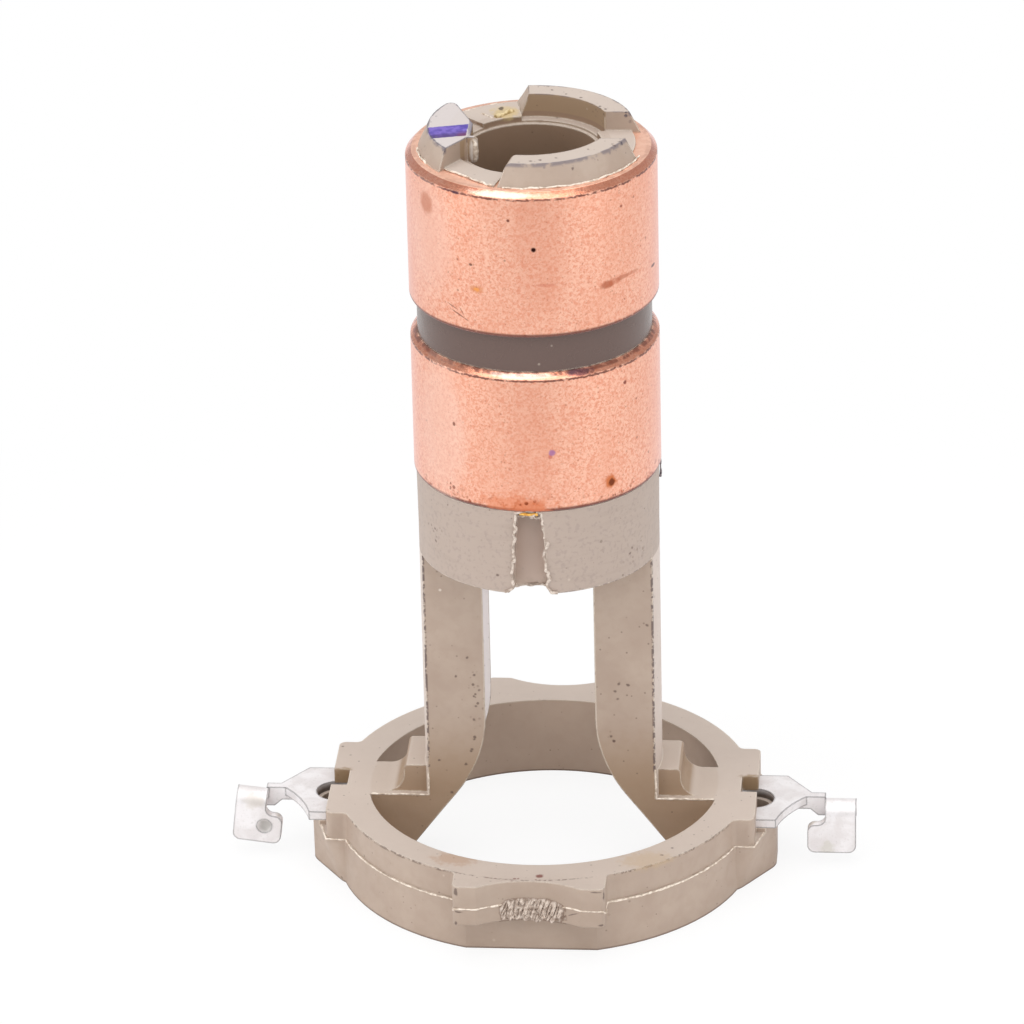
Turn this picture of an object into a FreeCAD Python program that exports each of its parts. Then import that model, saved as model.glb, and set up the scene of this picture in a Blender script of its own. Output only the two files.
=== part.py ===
import FreeCAD, Part
import math
import os

os.makedirs("parts", exist_ok=True)

# Driving dimensions, in millimetres. The axis of the rings is +Z, the base ring stands on z = 0,
# the right terminal points along +X and the front of the part faces -Y.

# Sleeve, collar and shaft bore
BORE_R = 4.2
BORE_MOUTH_STEP = 0.2
SLEEVE_WALL = 1.55
COLLAR_BOTTOM = 22.65
COLLAR_LENGTH = 5.75
COLLAR_INSET = 0.13
COLLAR_TAPER = 0.05

# Copper rings and the barrier between them
RING_WALL = 2.1
LOWER_RING_LENGTH = 9.45
UPPER_RING_LENGTH = 9.7
BARRIER_WIDTH = 2.48
BARRIER_DEPTH = 0.45
RING_TOP_CHAMFER = 0.38
RING_BOTTOM_CHAMFER = 0.15
RING_BORE_CHAMFER = 0.3

# Lugs on top of the sleeve
LUG_HEIGHT = 1.38
LUG_FOOT_INSET = 0.8
LUG_TOP_INSET = 1.45
LUG_BORE_STEP = 0.75
LEDGE_DROP = 0.16
RIGHT_GAP_WIDTH = 4.3
BACK_LUG_FOOT_ANGLE = 101.5
BACK_LUG_TOP_ANGLE = 95.5
FRONT_LUG_FOOT_ANGLE = 103.0
FRONT_LUG_TOP_ANGLE = 99.5
FRONT_LUG_ROUND = 0.45
KEY_DEPTH = 0.6
KEY_FRONT = 2.2
KEY_BACK = 0.0
KEY_DROP = 0.17
KEY_FIN_REACH = 0.48
KEY_FIN_THICKNESS = 0.25
KEY_FIN_CORNER = 0.2
SHORT_LUG_FRONT = 1.9
SHORT_LUG_BACK = 0.0
SHORT_LUG_ROUND = 0.4
FRONT_SPLAY = 33.0
BACK_SPLAY = 22.0
LIP_HEIGHT = 0.12
LIP_REACH = 1.15
BACK_LIP_END = 137.0
RIGHT_LIP_ANGLE = 25.0
RIGHT_LIP_REACH = 0.75
FRONT_LIP_START = -157.0
FRONT_LIP_END = -104.6
FRONT_LIP_CHORD = 6.43

# Slots in the collar
SLOT_WIDTH = 2.3
SLOT_TOP_WIDTH = 1.6
SLOT_DEPTH = 1.3
SLOT_CORNER_R = 0.5

# Legs and feet
LEG_WIDTH = 4.5
LEG_INSET = 0.17
FLARE_START = 11.0
FLARE_RADIUS = 9.5
FLARE_ANGLE = 35.8
GUSSET_REACH = 1.3
GUSSET_HEIGHT = 1.92
GUSSET_FILLET = 1.25
GUSSET_FRONT_INSET = 0.47
GUSSET_EDGE_RADIUS = 0.3

# Base ring
BASE_DIAMETER = 27.0
BASE_WALL = 2.08
BASE_HEIGHT = 5.31
PARTING_HEIGHT = 3.35
PARTING_STEP = 0.08
FACET_DEPTH = 0.67
PAD_WIDTH = 9.7
PAD_REACH = 1.0
PAD_BOTTOM = 2.55
SCALLOP_WIDTH = 6.6
SCALLOP_DEPTH = 0.95
CORNER_RADIUS = 0.45

# Side lobes that carry the terminals
LOBE_WIDTH = 9.8
LOBE_UPPER_REACH = 0.35
LOBE_LOWER_REACH = 1.6
LOBE_NOSE_WIDTH = 2.4
LOBE_BOTTOM_TAPER = 1.27
LOBE_NOSE_ROUND = 1.6
NOTCH_WIDTH = 2.1
NOTCH_DEPTH = 1.05

# Terminals
SHEET = 0.6
PLATE_TOP = 4.3
PLATE_BACK = 3.15
PLATE_FRONT = 2.97
PLATE_REACH = 1.85
PLATE_FRONT_SETBACK = 0.55
PLATE_HOLE_R = 1.27
PLATE_HOLE_INSET = 0.2
PLATE_WEB = 0.5
PIN_HOLE_R = 1.0
PIN_HOLE_DEPTH = 2.4
NECK_SLOPE_RUN = 1.65
NECK_FRONT_RUN = 1.3
NECK_HOLLOW = 0.25
NECK_Y = 0.3
NECK_DROP = 0.9
FLANGE_DROP = 1.35
FLANGE_STEP_RUN = 0.5
HOOK_REACH = 6.4
HOOK_WIDTH = 2.0
HOOK_GAP = 0.7
HOOK_LENGTH = 3.4
HOOK_TOE = 1.15
HOOK_TOE_HEIGHT = 2.0
HOOK_CORNER_R = 0.5
LEFT_HOOK_LEAN = 7.0
DIMPLE_R = 0.5
DIMPLE_DEPTH = 0.18
DIMPLE_RISE = 1.2
LEAD_WIDTH = 2.4
LEAD_BEND_R = 1.2
LEAD_KNEE_X = 8.6
LEAD_KNEE_RISE = 6.0
CONTACT_LENGTH = 3.0

# Values that follow from them
RING_BORE_R = BORE_R + SLEEVE_WALL
RING_R = RING_BORE_R + RING_WALL
COLLAR_R = RING_R - COLLAR_INSET
LEG_R = RING_R - LEG_INSET
LOWER_RING_BOTTOM = COLLAR_BOTTOM + COLLAR_LENGTH
LOWER_RING_TOP = LOWER_RING_BOTTOM + LOWER_RING_LENGTH
UPPER_RING_BOTTOM = LOWER_RING_TOP + BARRIER_WIDTH
UPPER_RING_TOP = UPPER_RING_BOTTOM + UPPER_RING_LENGTH
LEDGE_Z = UPPER_RING_TOP - LEDGE_DROP
MOUTH_R = BORE_R + BORE_MOUTH_STEP
KEY_BOTTOM = LEDGE_Z - KEY_DROP
TOTAL_HEIGHT = UPPER_RING_TOP + LUG_HEIGHT
BASE_R = BASE_DIAMETER / 2
BASE_BORE_R = BASE_R - BASE_WALL
LOBE_X = BASE_R + LOBE_UPPER_REACH
PLATE_BOTTOM = PLATE_TOP - SHEET
PLATE_HOLE_X = LOBE_X - PLATE_HOLE_INSET
PLATE_INNER_X = PLATE_HOLE_X - PLATE_HOLE_R - PLATE_WEB
PLATE_CORNER_X = LOBE_X + PLATE_REACH
NECK_BACK_Y = NECK_Y + SHEET
HOOK_END_X = LOBE_X + HOOK_REACH
HOOK_START_X = HOOK_END_X - HOOK_WIDTH
HOOK_OUTER_R = HOOK_GAP / 2 + SHEET
FAR = 3.0 * BASE_R
SAME_PLACE = 1e-6
UP = FreeCAD.Vector(0, 0, 1)


def point(x, y, z):
    return FreeCAD.Vector(x, y, z)


def polar(radius, degrees, z=0.0):
    angle = math.radians(degrees)
    return point(radius * math.cos(angle), radius * math.sin(angle), z)


def polygon_face(points):
    return Part.Face(Part.makePolygon(points + points[:1]))


def revolved(profile):
    """Solid of revolution about Z from (radius, z) corners."""
    face = polygon_face([point(radius, 0, z) for radius, z in profile])
    return face.revolve(point(0, 0, 0), UP, 360)


def tube(inner_r, outer_r, bottom, top):
    return revolved([(inner_r, bottom), (outer_r, bottom), (outer_r, top), (inner_r, top)])


def disc(radius, bottom, top):
    return Part.makeCylinder(radius, top - bottom, point(0, 0, bottom))


def block(x_range, y_range, z_range):
    size = [high - low for low, high in (x_range, y_range, z_range)]
    return Part.makeBox(*size, point(x_range[0], y_range[0], z_range[0]))


def prism(outline, bottom, top):
    """Upright prism on an outline of (x, y) corners."""
    face = polygon_face([point(x, y, bottom) for x, y in outline])
    return face.extrude(point(0, 0, top - bottom))


def side_prism(outline, front, back):
    """Prism along Y on an outline of (x, z) corners."""
    face = polygon_face([point(x, front, z) for x, z in outline])
    return face.extrude(point(0, back - front, 0))


def tapered(bottom_outline, bottom, top_outline, top):
    """Solid with straight sides between two outlines of (x, y) corners."""
    wires = []
    for outline, z in ((bottom_outline, bottom), (top_outline, top)):
        corners = [point(x, y, z) for x, y in outline]
        wires.append(Part.makePolygon(corners + corners[:1]))
    return Part.makeLoft(wires, True, True)


def mirrored_x(shape):
    return shape.mirror(point(0, 0, 0), point(1, 0, 0))


def mirrored_y(shape):
    return shape.mirror(point(0, 0, 0), point(0, 1, 0))


def both_sides(shape, mirrored):
    return shape.fuse(mirrored(shape))


def upright_edges(shape):
    """Straight edges of a prism that run along Z."""
    found = []
    for edge in shape.Edges:
        run = edge.Vertexes[0].Point - edge.Vertexes[-1].Point
        if abs(run.z) > SAME_PLACE and math.hypot(run.x, run.y) < SAME_PLACE:
            found.append(edge)
    return found


def rounded_path(corners, radius):
    """Wire of straight runs in the XZ plane joined by tangent arcs."""
    places = [point(x, 0, z) for x, z in corners]
    edges = []
    start = places[0]
    for corner, following in zip(places[1:-1], places[2:]):
        back = (start - corner).normalize()
        ahead = (following - corner).normalize()
        half_angle = back.getAngle(ahead) / 2
        setback = radius / math.tan(half_angle)
        middle = (back + ahead).normalize() * (radius / math.sin(half_angle) - radius)
        leave, meet = corner + back * setback, corner + ahead * setback
        edges.append(Part.makeLine(start, leave))
        edges.append(Part.Arc(leave, corner + middle, meet).toShape())
        start = meet
    edges.append(Part.makeLine(start, places[-1]))
    return Part.Wire(edges)


# Sleeve with its ring seats, barrier and collar

def sleeve():
    barrier_r = RING_R - BARRIER_DEPTH
    return revolved([
        (BORE_R, COLLAR_BOTTOM),
        (COLLAR_R - COLLAR_TAPER, COLLAR_BOTTOM),
        (COLLAR_R, LOWER_RING_BOTTOM),
        (RING_BORE_R, LOWER_RING_BOTTOM),
        (RING_BORE_R, LOWER_RING_TOP),
        (barrier_r, LOWER_RING_TOP),
        (barrier_r, UPPER_RING_BOTTOM),
        (RING_BORE_R, UPPER_RING_BOTTOM),
        (RING_BORE_R, LEDGE_Z),
        (MOUTH_R, LEDGE_Z),
        (MOUTH_R, KEY_BOTTOM),
        (BORE_R, KEY_BOTTOM),
    ])


def collar_slot():
    """Front slot of the collar, open at its lower end, with all its corners rounded."""
    below = COLLAR_BOTTOM - FAR
    rim = rounded_path(
        [
            (-FAR, COLLAR_BOTTOM),
            (-SLOT_WIDTH / 2, COLLAR_BOTTOM),
            (-SLOT_TOP_WIDTH / 2, LOWER_RING_BOTTOM),
            (SLOT_TOP_WIDTH / 2, LOWER_RING_BOTTOM),
            (SLOT_WIDTH / 2, COLLAR_BOTTOM),
            (FAR, COLLAR_BOTTOM),
        ],
        SLOT_CORNER_R,
    )
    outer = [(FAR, COLLAR_BOTTOM), (FAR, below), (-FAR, below), (-FAR, COLLAR_BOTTOM)]
    closing = Part.makePolygon([point(x, 0, z) for x, z in outer])
    outline = Part.Face(Part.Wire(rim.Edges + closing.Edges))
    return outline.extrude(point(0, -FAR, 0)).common(
        tube(COLLAR_R - SLOT_DEPTH, FAR, COLLAR_BOTTOM, LOWER_RING_BOTTOM)
    )


# Moulding over the end of the upper ring

def over_ring(inner_r, foot_r, top_r, top):
    """Collar of moulding that fills the upper ring's bore chamfer and lies on its end face."""
    root = LEDGE_Z - LEDGE_DROP
    return revolved([
        (inner_r, root),
        (RING_BORE_R, root),
        (RING_BORE_R, UPPER_RING_TOP - RING_BORE_CHAMFER),
        (RING_BORE_R + RING_BORE_CHAMFER, UPPER_RING_TOP),
        (foot_r, UPPER_RING_TOP),
        (top_r, top),
        (inner_r, top),
    ])


def lug_crown(inner_r):
    return over_ring(inner_r, RING_R - LUG_FOOT_INSET, RING_R - LUG_TOP_INSET, TOTAL_HEIGHT)


def long_lugs():
    """Front and back lugs: the crown less the right gap and all that lies left of their ends."""
    front_lean = FRONT_LUG_FOOT_ANGLE - FRONT_LUG_TOP_ANGLE
    back_lean = BACK_LUG_FOOT_ANGLE - BACK_LUG_TOP_ANGLE
    left_side = tapered(
        left_wedge(FRONT_LUG_FOOT_ANGLE + front_lean, BACK_LUG_FOOT_ANGLE + back_lean),
        UPPER_RING_TOP - LUG_HEIGHT,
        left_wedge(FRONT_LUG_TOP_ANGLE - front_lean, BACK_LUG_TOP_ANGLE - back_lean),
        TOTAL_HEIGHT + LUG_HEIGHT,
    )
    right_gap = block(
        (0, FAR), (-RIGHT_GAP_WIDTH / 2, RIGHT_GAP_WIDTH / 2), (COLLAR_BOTTOM, TOTAL_HEIGHT + LUG_HEIGHT)
    )
    lugs = lug_crown(BORE_R + LUG_BORE_STEP).cut(left_side).cut(right_gap)
    front_top = [edge for edge in top_edges(lugs) if edge.CenterOfMass.y < 0]
    left_end = min(front_top, key=lambda edge: edge.CenterOfMass.x)
    return lugs.makeFillet(FRONT_LUG_ROUND, [left_end])


def left_wedge(front_angle, back_angle):
    """Outline of the sector round -X between two edges at these angles from +X."""
    front = polar(FAR, -front_angle)
    back = polar(FAR, back_angle)
    return [(0, 0), (back.x, back.y), (-2 * FAR, back.y), (-2 * FAR, front.y), (front.x, front.y)]


def top_edges(shape):
    """Edges of a shape that lie in the plane of the lug tops."""
    return [edge for edge in shape.Edges if edge.BoundBox.ZMin > TOTAL_HEIGHT - SAME_PLACE]


def short_lug():
    """Left lug with a rounded back corner, whose flat inner face stands over the bore as a key."""
    face_x = -(BORE_R - KEY_DEPTH)
    front_slant = FAR * math.tan(math.radians(FRONT_SPLAY))
    back_slant = FAR * math.tan(math.radians(BACK_SPLAY))
    outline = [
        (face_x, -SHORT_LUG_FRONT),
        (face_x, SHORT_LUG_BACK),
        (face_x - back_slant, SHORT_LUG_BACK + FAR),
        (face_x - front_slant, -SHORT_LUG_FRONT - FAR),
    ]
    sector = prism(outline, LEDGE_Z - LEDGE_DROP, TOTAL_HEIGHT)
    lug = sector.common(lug_crown(KEY_DEPTH))
    rising = [edge for edge in lug.Edges if edge.BoundBox.ZLength > LUG_HEIGHT / 2]
    back_corner = max(rising, key=lambda edge: edge.CenterOfMass.y)
    return lug.makeFillet(SHORT_LUG_ROUND, [back_corner]).fuse(key(face_x))


def key(face_x):
    """Block behind the key's flat face, with a thin fin along the front edge of the face."""
    key_back = -(BORE_R + LUG_BORE_STEP / 2)
    fin_x = face_x + KEY_FIN_REACH
    fin_outline = [
        (key_back, KEY_BOTTOM),
        (fin_x - KEY_FIN_CORNER, KEY_BOTTOM),
        (fin_x, KEY_BOTTOM + KEY_FIN_CORNER),
        (fin_x, TOTAL_HEIGHT - KEY_FIN_CORNER),
        (fin_x - KEY_FIN_CORNER, TOTAL_HEIGHT),
        (key_back, TOTAL_HEIGHT),
    ]
    fin = side_prism(fin_outline, -KEY_FRONT, KEY_FIN_THICKNESS - KEY_FRONT)
    return block((key_back, face_x), (-KEY_FRONT, KEY_BACK), (KEY_BOTTOM, TOTAL_HEIGHT)).fuse(fin)


def fan(corners):
    """Upright prism from the axis out to corner points."""
    return prism([(0, 0)] + [(corner.x, corner.y) for corner in corners], COLLAR_BOTTOM, TOTAL_HEIGHT)


def lip(start, end, reach):
    """Thin overlap of moulding on the copper between two angles, level back to the bore's mouth."""
    outer_r = RING_BORE_R + reach
    ring = over_ring(MOUTH_R, outer_r, outer_r, UPPER_RING_TOP + LIP_HEIGHT)
    return ring.common(fan([polar(FAR, angle) for angle in (start, end)]))


def front_lip():
    """Straight-edged overlap on the copper from the short lug to the front lug."""
    half_angle = math.radians((FRONT_LIP_END - FRONT_LIP_START) / 2)
    corner_r = FRONT_LIP_CHORD / math.cos(half_angle)
    outer_r = RING_R - LUG_FOOT_INSET
    ring = over_ring(BORE_R + LUG_BORE_STEP, outer_r, outer_r, UPPER_RING_TOP + LIP_HEIGHT)
    return ring.common(fan([polar(corner_r, angle) for angle in (FRONT_LIP_START, FRONT_LIP_END)]))


# Legs and feet

def legs():
    """Both legs with their flared feet: one revolved section cut down to a slab."""
    angle = math.radians(FLARE_ANGLE)
    middle = angle / 2
    arc_start = point(BORE_R, 0, FLARE_START)
    arc_middle = arc_start + FLARE_RADIUS * point(1 - math.cos(middle), 0, -math.sin(middle))
    arc_end = arc_start + FLARE_RADIUS * point(1 - math.cos(angle), 0, -math.sin(angle))
    toe = point(arc_end.x + arc_end.z * math.tan(angle), 0, 0)
    root_r = BASE_BORE_R + BASE_WALL / 2
    corners = [
        toe,
        point(root_r, 0, 0),
        point(root_r, 0, BASE_HEIGHT),
        point(LEG_R, 0, BASE_HEIGHT),
        point(LEG_R, 0, COLLAR_BOTTOM + COLLAR_LENGTH / 2),
        point(BORE_R, 0, COLLAR_BOTTOM + COLLAR_LENGTH / 2),
        arc_start,
    ]
    edges = [Part.makeLine(a, b) for a, b in zip(corners, corners[1:])]
    edges.append(Part.Arc(arc_start, arc_middle, arc_end).toShape())
    edges.append(Part.makeLine(arc_end, toe))
    section = Part.Face(Part.Wire(Part.__sortEdges__(edges)))
    whole = section.revolve(point(0, 0, 0), UP, 360)
    slab = block((-FAR, FAR), (-LEG_WIDTH / 2, LEG_WIDTH / 2), (0, TOTAL_HEIGHT))
    return whole.common(slab)


def gusset():
    """Right foot's gusset: flat on top, with a concave flank down to the foot."""
    root_x = LEG_R - SLEEVE_WALL / 2
    top = BASE_HEIGHT + GUSSET_HEIGHT
    outer_x = LEG_R + GUSSET_REACH
    flank_bottom = BASE_HEIGHT + GUSSET_FILLET
    toe_x = outer_x + GUSSET_FILLET
    bow = math.cos(math.radians(45))
    edge = GUSSET_EDGE_RADIUS
    round_start = point(outer_x - edge, 0, top)
    round_end = point(outer_x, 0, top - edge)
    round_middle = point(outer_x - edge * (1 - bow), 0, top - edge * (1 - bow))
    flank_start = point(outer_x, 0, flank_bottom)
    flank_end = point(toe_x, 0, BASE_HEIGHT)
    flank_middle = point(toe_x - GUSSET_FILLET * bow, 0, flank_bottom - GUSSET_FILLET * bow)
    edges = [
        Part.makeLine(point(root_x, 0, BASE_HEIGHT), point(root_x, 0, top)),
        Part.makeLine(point(root_x, 0, top), round_start),
        Part.Arc(round_start, round_middle, round_end).toShape(),
        Part.makeLine(round_end, flank_start),
        Part.Arc(flank_start, flank_middle, flank_end).toShape(),
        Part.makeLine(flank_end, point(root_x, 0, BASE_HEIGHT)),
    ]
    front = -LEG_WIDTH / 2 + GUSSET_FRONT_INSET
    face = Part.Face(Part.Wire(edges))
    face.translate(point(0, front, 0))
    return face.extrude(point(0, LEG_WIDTH / 2 - front, 0))


# Base ring

def base_lower_half():
    """Lower mould half: a drum with a flat facet front and back and the noses of the lobes."""
    facet_y = BASE_R - FACET_DEPTH
    flats = block((-FAR, FAR), (-facet_y, facet_y), (0, PARTING_HEIGHT))
    drum = disc(BASE_R, 0, PARTING_HEIGHT).common(flats)
    return drum.fuse(both_sides(lobe_nose(), mirrored_x))


def lobe_nose():
    """Right lobe's tapered nose and the seat on it that carries the terminal plate."""
    top_outline = nose_outline(LOBE_X)
    bottom_outline = nose_outline(LOBE_X - LOBE_BOTTOM_TAPER)
    nose = tapered(bottom_outline, 0, top_outline, PARTING_HEIGHT)
    outer_edges = [edge for edge in nose.Edges if rises_outside(edge)]
    nose = nose.makeFillet(LOBE_NOSE_ROUND, outer_edges)
    seat_limits = block((0, FAR), (-PLATE_FRONT, PLATE_FRONT), (PARTING_HEIGHT, PLATE_BOTTOM))
    seat = prism(top_outline, PARTING_HEIGHT, PLATE_BOTTOM).common(seat_limits)
    return nose.fuse(seat)


def rises_outside(edge):
    """Whether an edge climbs from the bottom to the parting plane beyond the ring's bore."""
    heights = sorted(vertex.Z for vertex in edge.Vertexes)
    climbs = heights[-1] - heights[0] > SAME_PLACE
    return climbs and min(vertex.X for vertex in edge.Vertexes) > BASE_BORE_R + SAME_PLACE


def nose_outline(shoulder_x):
    """Outline of the nose, with slanted cheeks from its tip back to shoulders at this x."""
    tip_x = BASE_R + LOBE_LOWER_REACH
    front_half = [
        (BASE_BORE_R, -LOBE_WIDTH / 2),
        (shoulder_x, -LOBE_WIDTH / 2),
        (tip_x, -LOBE_NOSE_WIDTH / 2),
    ]
    return front_half + [(x, -y) for x, y in reversed(front_half)]


def base_upper_half():
    """Upper mould half: a slightly smaller drum with square lobes and scalloped pads."""
    outer_r = BASE_R - PARTING_STEP
    z_range = (PARTING_HEIGHT, BASE_HEIGHT)
    lobes = block((-LOBE_X, LOBE_X), (-LOBE_WIDTH / 2, LOBE_WIDTH / 2), z_range)
    drum = disc(outer_r, *z_range).fuse(lobes).fuse(pad_bar(*z_range)).removeSplitter()
    return drum.makeFillet(CORNER_RADIUS, upright_edges(drum))


def pad_bar(bottom, top):
    """Bar across the ring whose two ends are the front and back pads, each with its scallop."""
    pad_y = BASE_R + PAD_REACH
    bar = block((-PAD_WIDTH / 2, PAD_WIDTH / 2), (-pad_y, pad_y), (bottom, top))
    scallop_r = ((SCALLOP_WIDTH / 2) ** 2 + SCALLOP_DEPTH ** 2) / (2 * SCALLOP_DEPTH)
    centre_y = pad_y - SCALLOP_DEPTH + scallop_r
    scallop = Part.makeCylinder(scallop_r, top - bottom, point(0, centre_y, bottom))
    return bar.cut(both_sides(scallop, mirrored_y))


def pad_shelf():
    """The pads' lower part, which hangs out over the facets of the lower half."""
    bar = pad_bar(PAD_BOTTOM, PARTING_HEIGHT)
    return bar.makeFillet(CORNER_RADIUS, upright_edges(bar))


def base_ring():
    ring = base_lower_half().fuse([base_upper_half(), pad_shelf()])
    return ring.cut(disc(BASE_BORE_R, 0, BASE_HEIGHT))


def lobe_cuts():
    """Right lobe's open notch over the plate hole, and the locating pin's hole below it."""
    notch = block(
        (LOBE_X - NOTCH_DEPTH, FAR),
        (-NOTCH_WIDTH / 2, NOTCH_WIDTH / 2),
        (PLATE_TOP, BASE_HEIGHT),
    )
    pin_bottom = PLATE_BOTTOM - PIN_HOLE_DEPTH
    pin_hole = Part.makeCylinder(PIN_HOLE_R, PLATE_BOTTOM - pin_bottom, point(PLATE_HOLE_X, 0, pin_bottom))
    return notch.fuse([pin_hole, plate_hole()])


# Terminals

def plate_hole():
    return Part.makeCylinder(PLATE_HOLE_R, SHEET, point(PLATE_HOLE_X, 0, PLATE_BOTTOM))


def plate():
    """Flat plate that narrows to the neck: slanted behind, hollowed in front."""
    front_corner = point(PLATE_CORNER_X - PLATE_FRONT_SETBACK, -PLATE_FRONT, PLATE_BOTTOM)
    neck_front = point(PLATE_CORNER_X + NECK_FRONT_RUN, NECK_Y, PLATE_BOTTOM)
    neck_back = point(PLATE_CORNER_X + NECK_SLOPE_RUN, NECK_BACK_Y, PLATE_BOTTOM)
    back_corner = point(PLATE_CORNER_X, PLATE_BACK, PLATE_BOTTOM)
    inner_back = point(PLATE_INNER_X, PLATE_BACK, PLATE_BOTTOM)
    inner_front = point(PLATE_INNER_X, -PLATE_FRONT, PLATE_BOTTOM)
    chord = neck_front - front_corner
    inward = point(-chord.y, chord.x, 0).normalize()
    hollow = (front_corner + neck_front) * 0.5 + inward * NECK_HOLLOW
    corners = [neck_front, neck_back, back_corner, inner_back, inner_front, front_corner]
    edges = [Part.makeLine(a, b) for a, b in zip(corners, corners[1:])]
    edges.append(Part.Arc(front_corner, hollow, neck_front).toShape())
    sheet = Part.Face(Part.Wire(edges)).extrude(point(0, 0, SHEET))
    return sheet.cut(plate_hole())


def flange():
    """Edge of the neck, bent down to stand upright behind the hook."""
    step_z = PLATE_TOP - NECK_DROP
    bottom_z = PLATE_TOP - FLANGE_DROP
    outline = [
        (PLATE_CORNER_X, PLATE_TOP),
        (HOOK_START_X, PLATE_TOP),
        (HOOK_START_X, bottom_z),
        (HOOK_START_X - FLANGE_STEP_RUN, bottom_z),
        (HOOK_START_X - 2 * FLANGE_STEP_RUN, step_z),
        (PLATE_CORNER_X, step_z),
    ]
    return side_prism(outline, NECK_Y, NECK_BACK_Y)


def hook(lean, dimple_depth):
    """Open hook for the wire: the flange folded over forwards into a tab with a toe."""
    fold_y = NECK_Y - HOOK_GAP / 2
    fold_z = PLATE_TOP - HOOK_OUTER_R
    bottom_z = PLATE_TOP - FLANGE_DROP
    start = point(HOOK_START_X, fold_y, fold_z)
    along = point(1, 0, 0)
    rod = Part.makeCylinder(HOOK_OUTER_R, HOOK_WIDTH, start, along)
    hollow = Part.makeCylinder(HOOK_GAP / 2, HOOK_WIDTH, start, along)
    upper = block((HOOK_START_X, HOOK_END_X), (-FAR, FAR), (fold_z, PLATE_TOP))
    fold = rod.cut(hollow).common(upper)
    back = block((HOOK_START_X, HOOK_END_X), (NECK_Y, NECK_BACK_Y), (bottom_z, fold_z))
    folded = fold.fuse([back, tab(fold_y - HOOK_OUTER_R, fold_z, dimple_depth)])
    folded.rotate(point(HOOK_START_X, 0, bottom_z), point(0, 1, 0), -lean)
    return folded


def tab(front_y, top_z, dimple_depth):
    """Front leaf of the hook, with its toe turned towards the base."""
    toe_x = HOOK_START_X - HOOK_TOE
    tab_bottom = PLATE_TOP - HOOK_LENGTH
    toe_top = tab_bottom + HOOK_TOE_HEIGHT
    outline = rounded_path(
        [
            (HOOK_START_X, top_z),
            (HOOK_START_X, toe_top),
            (toe_x, toe_top),
            (toe_x, tab_bottom),
            (HOOK_END_X, tab_bottom),
            (HOOK_END_X, top_z),
        ],
        HOOK_CORNER_R,
    )
    top_edge = Part.makeLine(point(HOOK_END_X, 0, top_z), point(HOOK_START_X, 0, top_z))
    face = Part.Face(Part.Wire(outline.Edges + [top_edge]))
    face.translate(point(0, front_y, 0))
    leaf = face.extrude(point(0, SHEET, 0))
    if dimple_depth > 0:
        ball_r = (DIMPLE_R ** 2 + dimple_depth ** 2) / (2 * dimple_depth)
        centre = point(HOOK_START_X, front_y - ball_r + dimple_depth, tab_bottom + DIMPLE_RISE)
        leaf = leaf.cut(Part.makeSphere(ball_r, centre))
    return leaf


def lead(contact_middle):
    """Strip from the plate through the foot and up the leg to its pad on a ring's bore."""
    wall_middle = (BORE_R + RING_BORE_R) / 2
    plate_middle = (PLATE_BOTTOM + PLATE_TOP) / 2
    start_x = PLATE_INNER_X + PLATE_WEB / 2
    contact_top = contact_middle + CONTACT_LENGTH / 2
    route = rounded_path(
        [
            (start_x, plate_middle),
            (LEAD_KNEE_X, plate_middle),
            (wall_middle, plate_middle + LEAD_KNEE_RISE),
            (wall_middle, contact_top),
        ],
        LEAD_BEND_R,
    )
    half = LEAD_WIDTH / 2
    section = Part.makePolygon([
        point(start_x, -half, PLATE_BOTTOM),
        point(start_x, half, PLATE_BOTTOM),
        point(start_x, half, PLATE_TOP),
        point(start_x, -half, PLATE_TOP),
        point(start_x, -half, PLATE_BOTTOM),
    ])
    strip = route.makePipeShell([section], True, False)
    pad_limits = block(
        (wall_middle, RING_BORE_R), (-half, half), (contact_middle - CONTACT_LENGTH / 2, contact_top)
    )
    pad = pad_limits.common(disc(RING_BORE_R, 0, TOTAL_HEIGHT))
    return strip.fuse(pad)


def terminal(contact_middle, lean, dimple_depth):
    parts = [flange(), hook(lean, dimple_depth), lead(contact_middle)]
    return plate().fuse(parts).removeSplitter()


# The five pieces

def copper_ring(bottom, length):
    top = bottom + length
    return revolved([
        (RING_BORE_R, bottom),
        (RING_R - RING_BOTTOM_CHAMFER, bottom),
        (RING_R, bottom + RING_BOTTOM_CHAMFER),
        (RING_R, top - RING_TOP_CHAMFER),
        (RING_R - RING_TOP_CHAMFER, top),
        (RING_BORE_R + RING_BORE_CHAMFER, top),
        (RING_BORE_R, top - RING_BORE_CHAMFER),
    ])


def insulator_body(seated):
    """Moulding fused from its parts, less the slots, the lobe cuts and all that it grips."""
    first = sleeve()
    others = [
        long_lugs(),
        short_lug(),
        lip(BACK_LUG_FOOT_ANGLE, BACK_LIP_END, LIP_REACH),
        lip(-RIGHT_LIP_ANGLE, RIGHT_LIP_ANGLE, RIGHT_LIP_REACH),
        front_lip(),
        legs(),
        both_sides(gusset(), mirrored_x),
        base_ring(),
    ]
    openings = [both_sides(collar_slot(), mirrored_y), both_sides(lobe_cuts(), mirrored_x)]
    return first.fuse(others).cut(openings + seated).removeSplitter()


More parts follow.
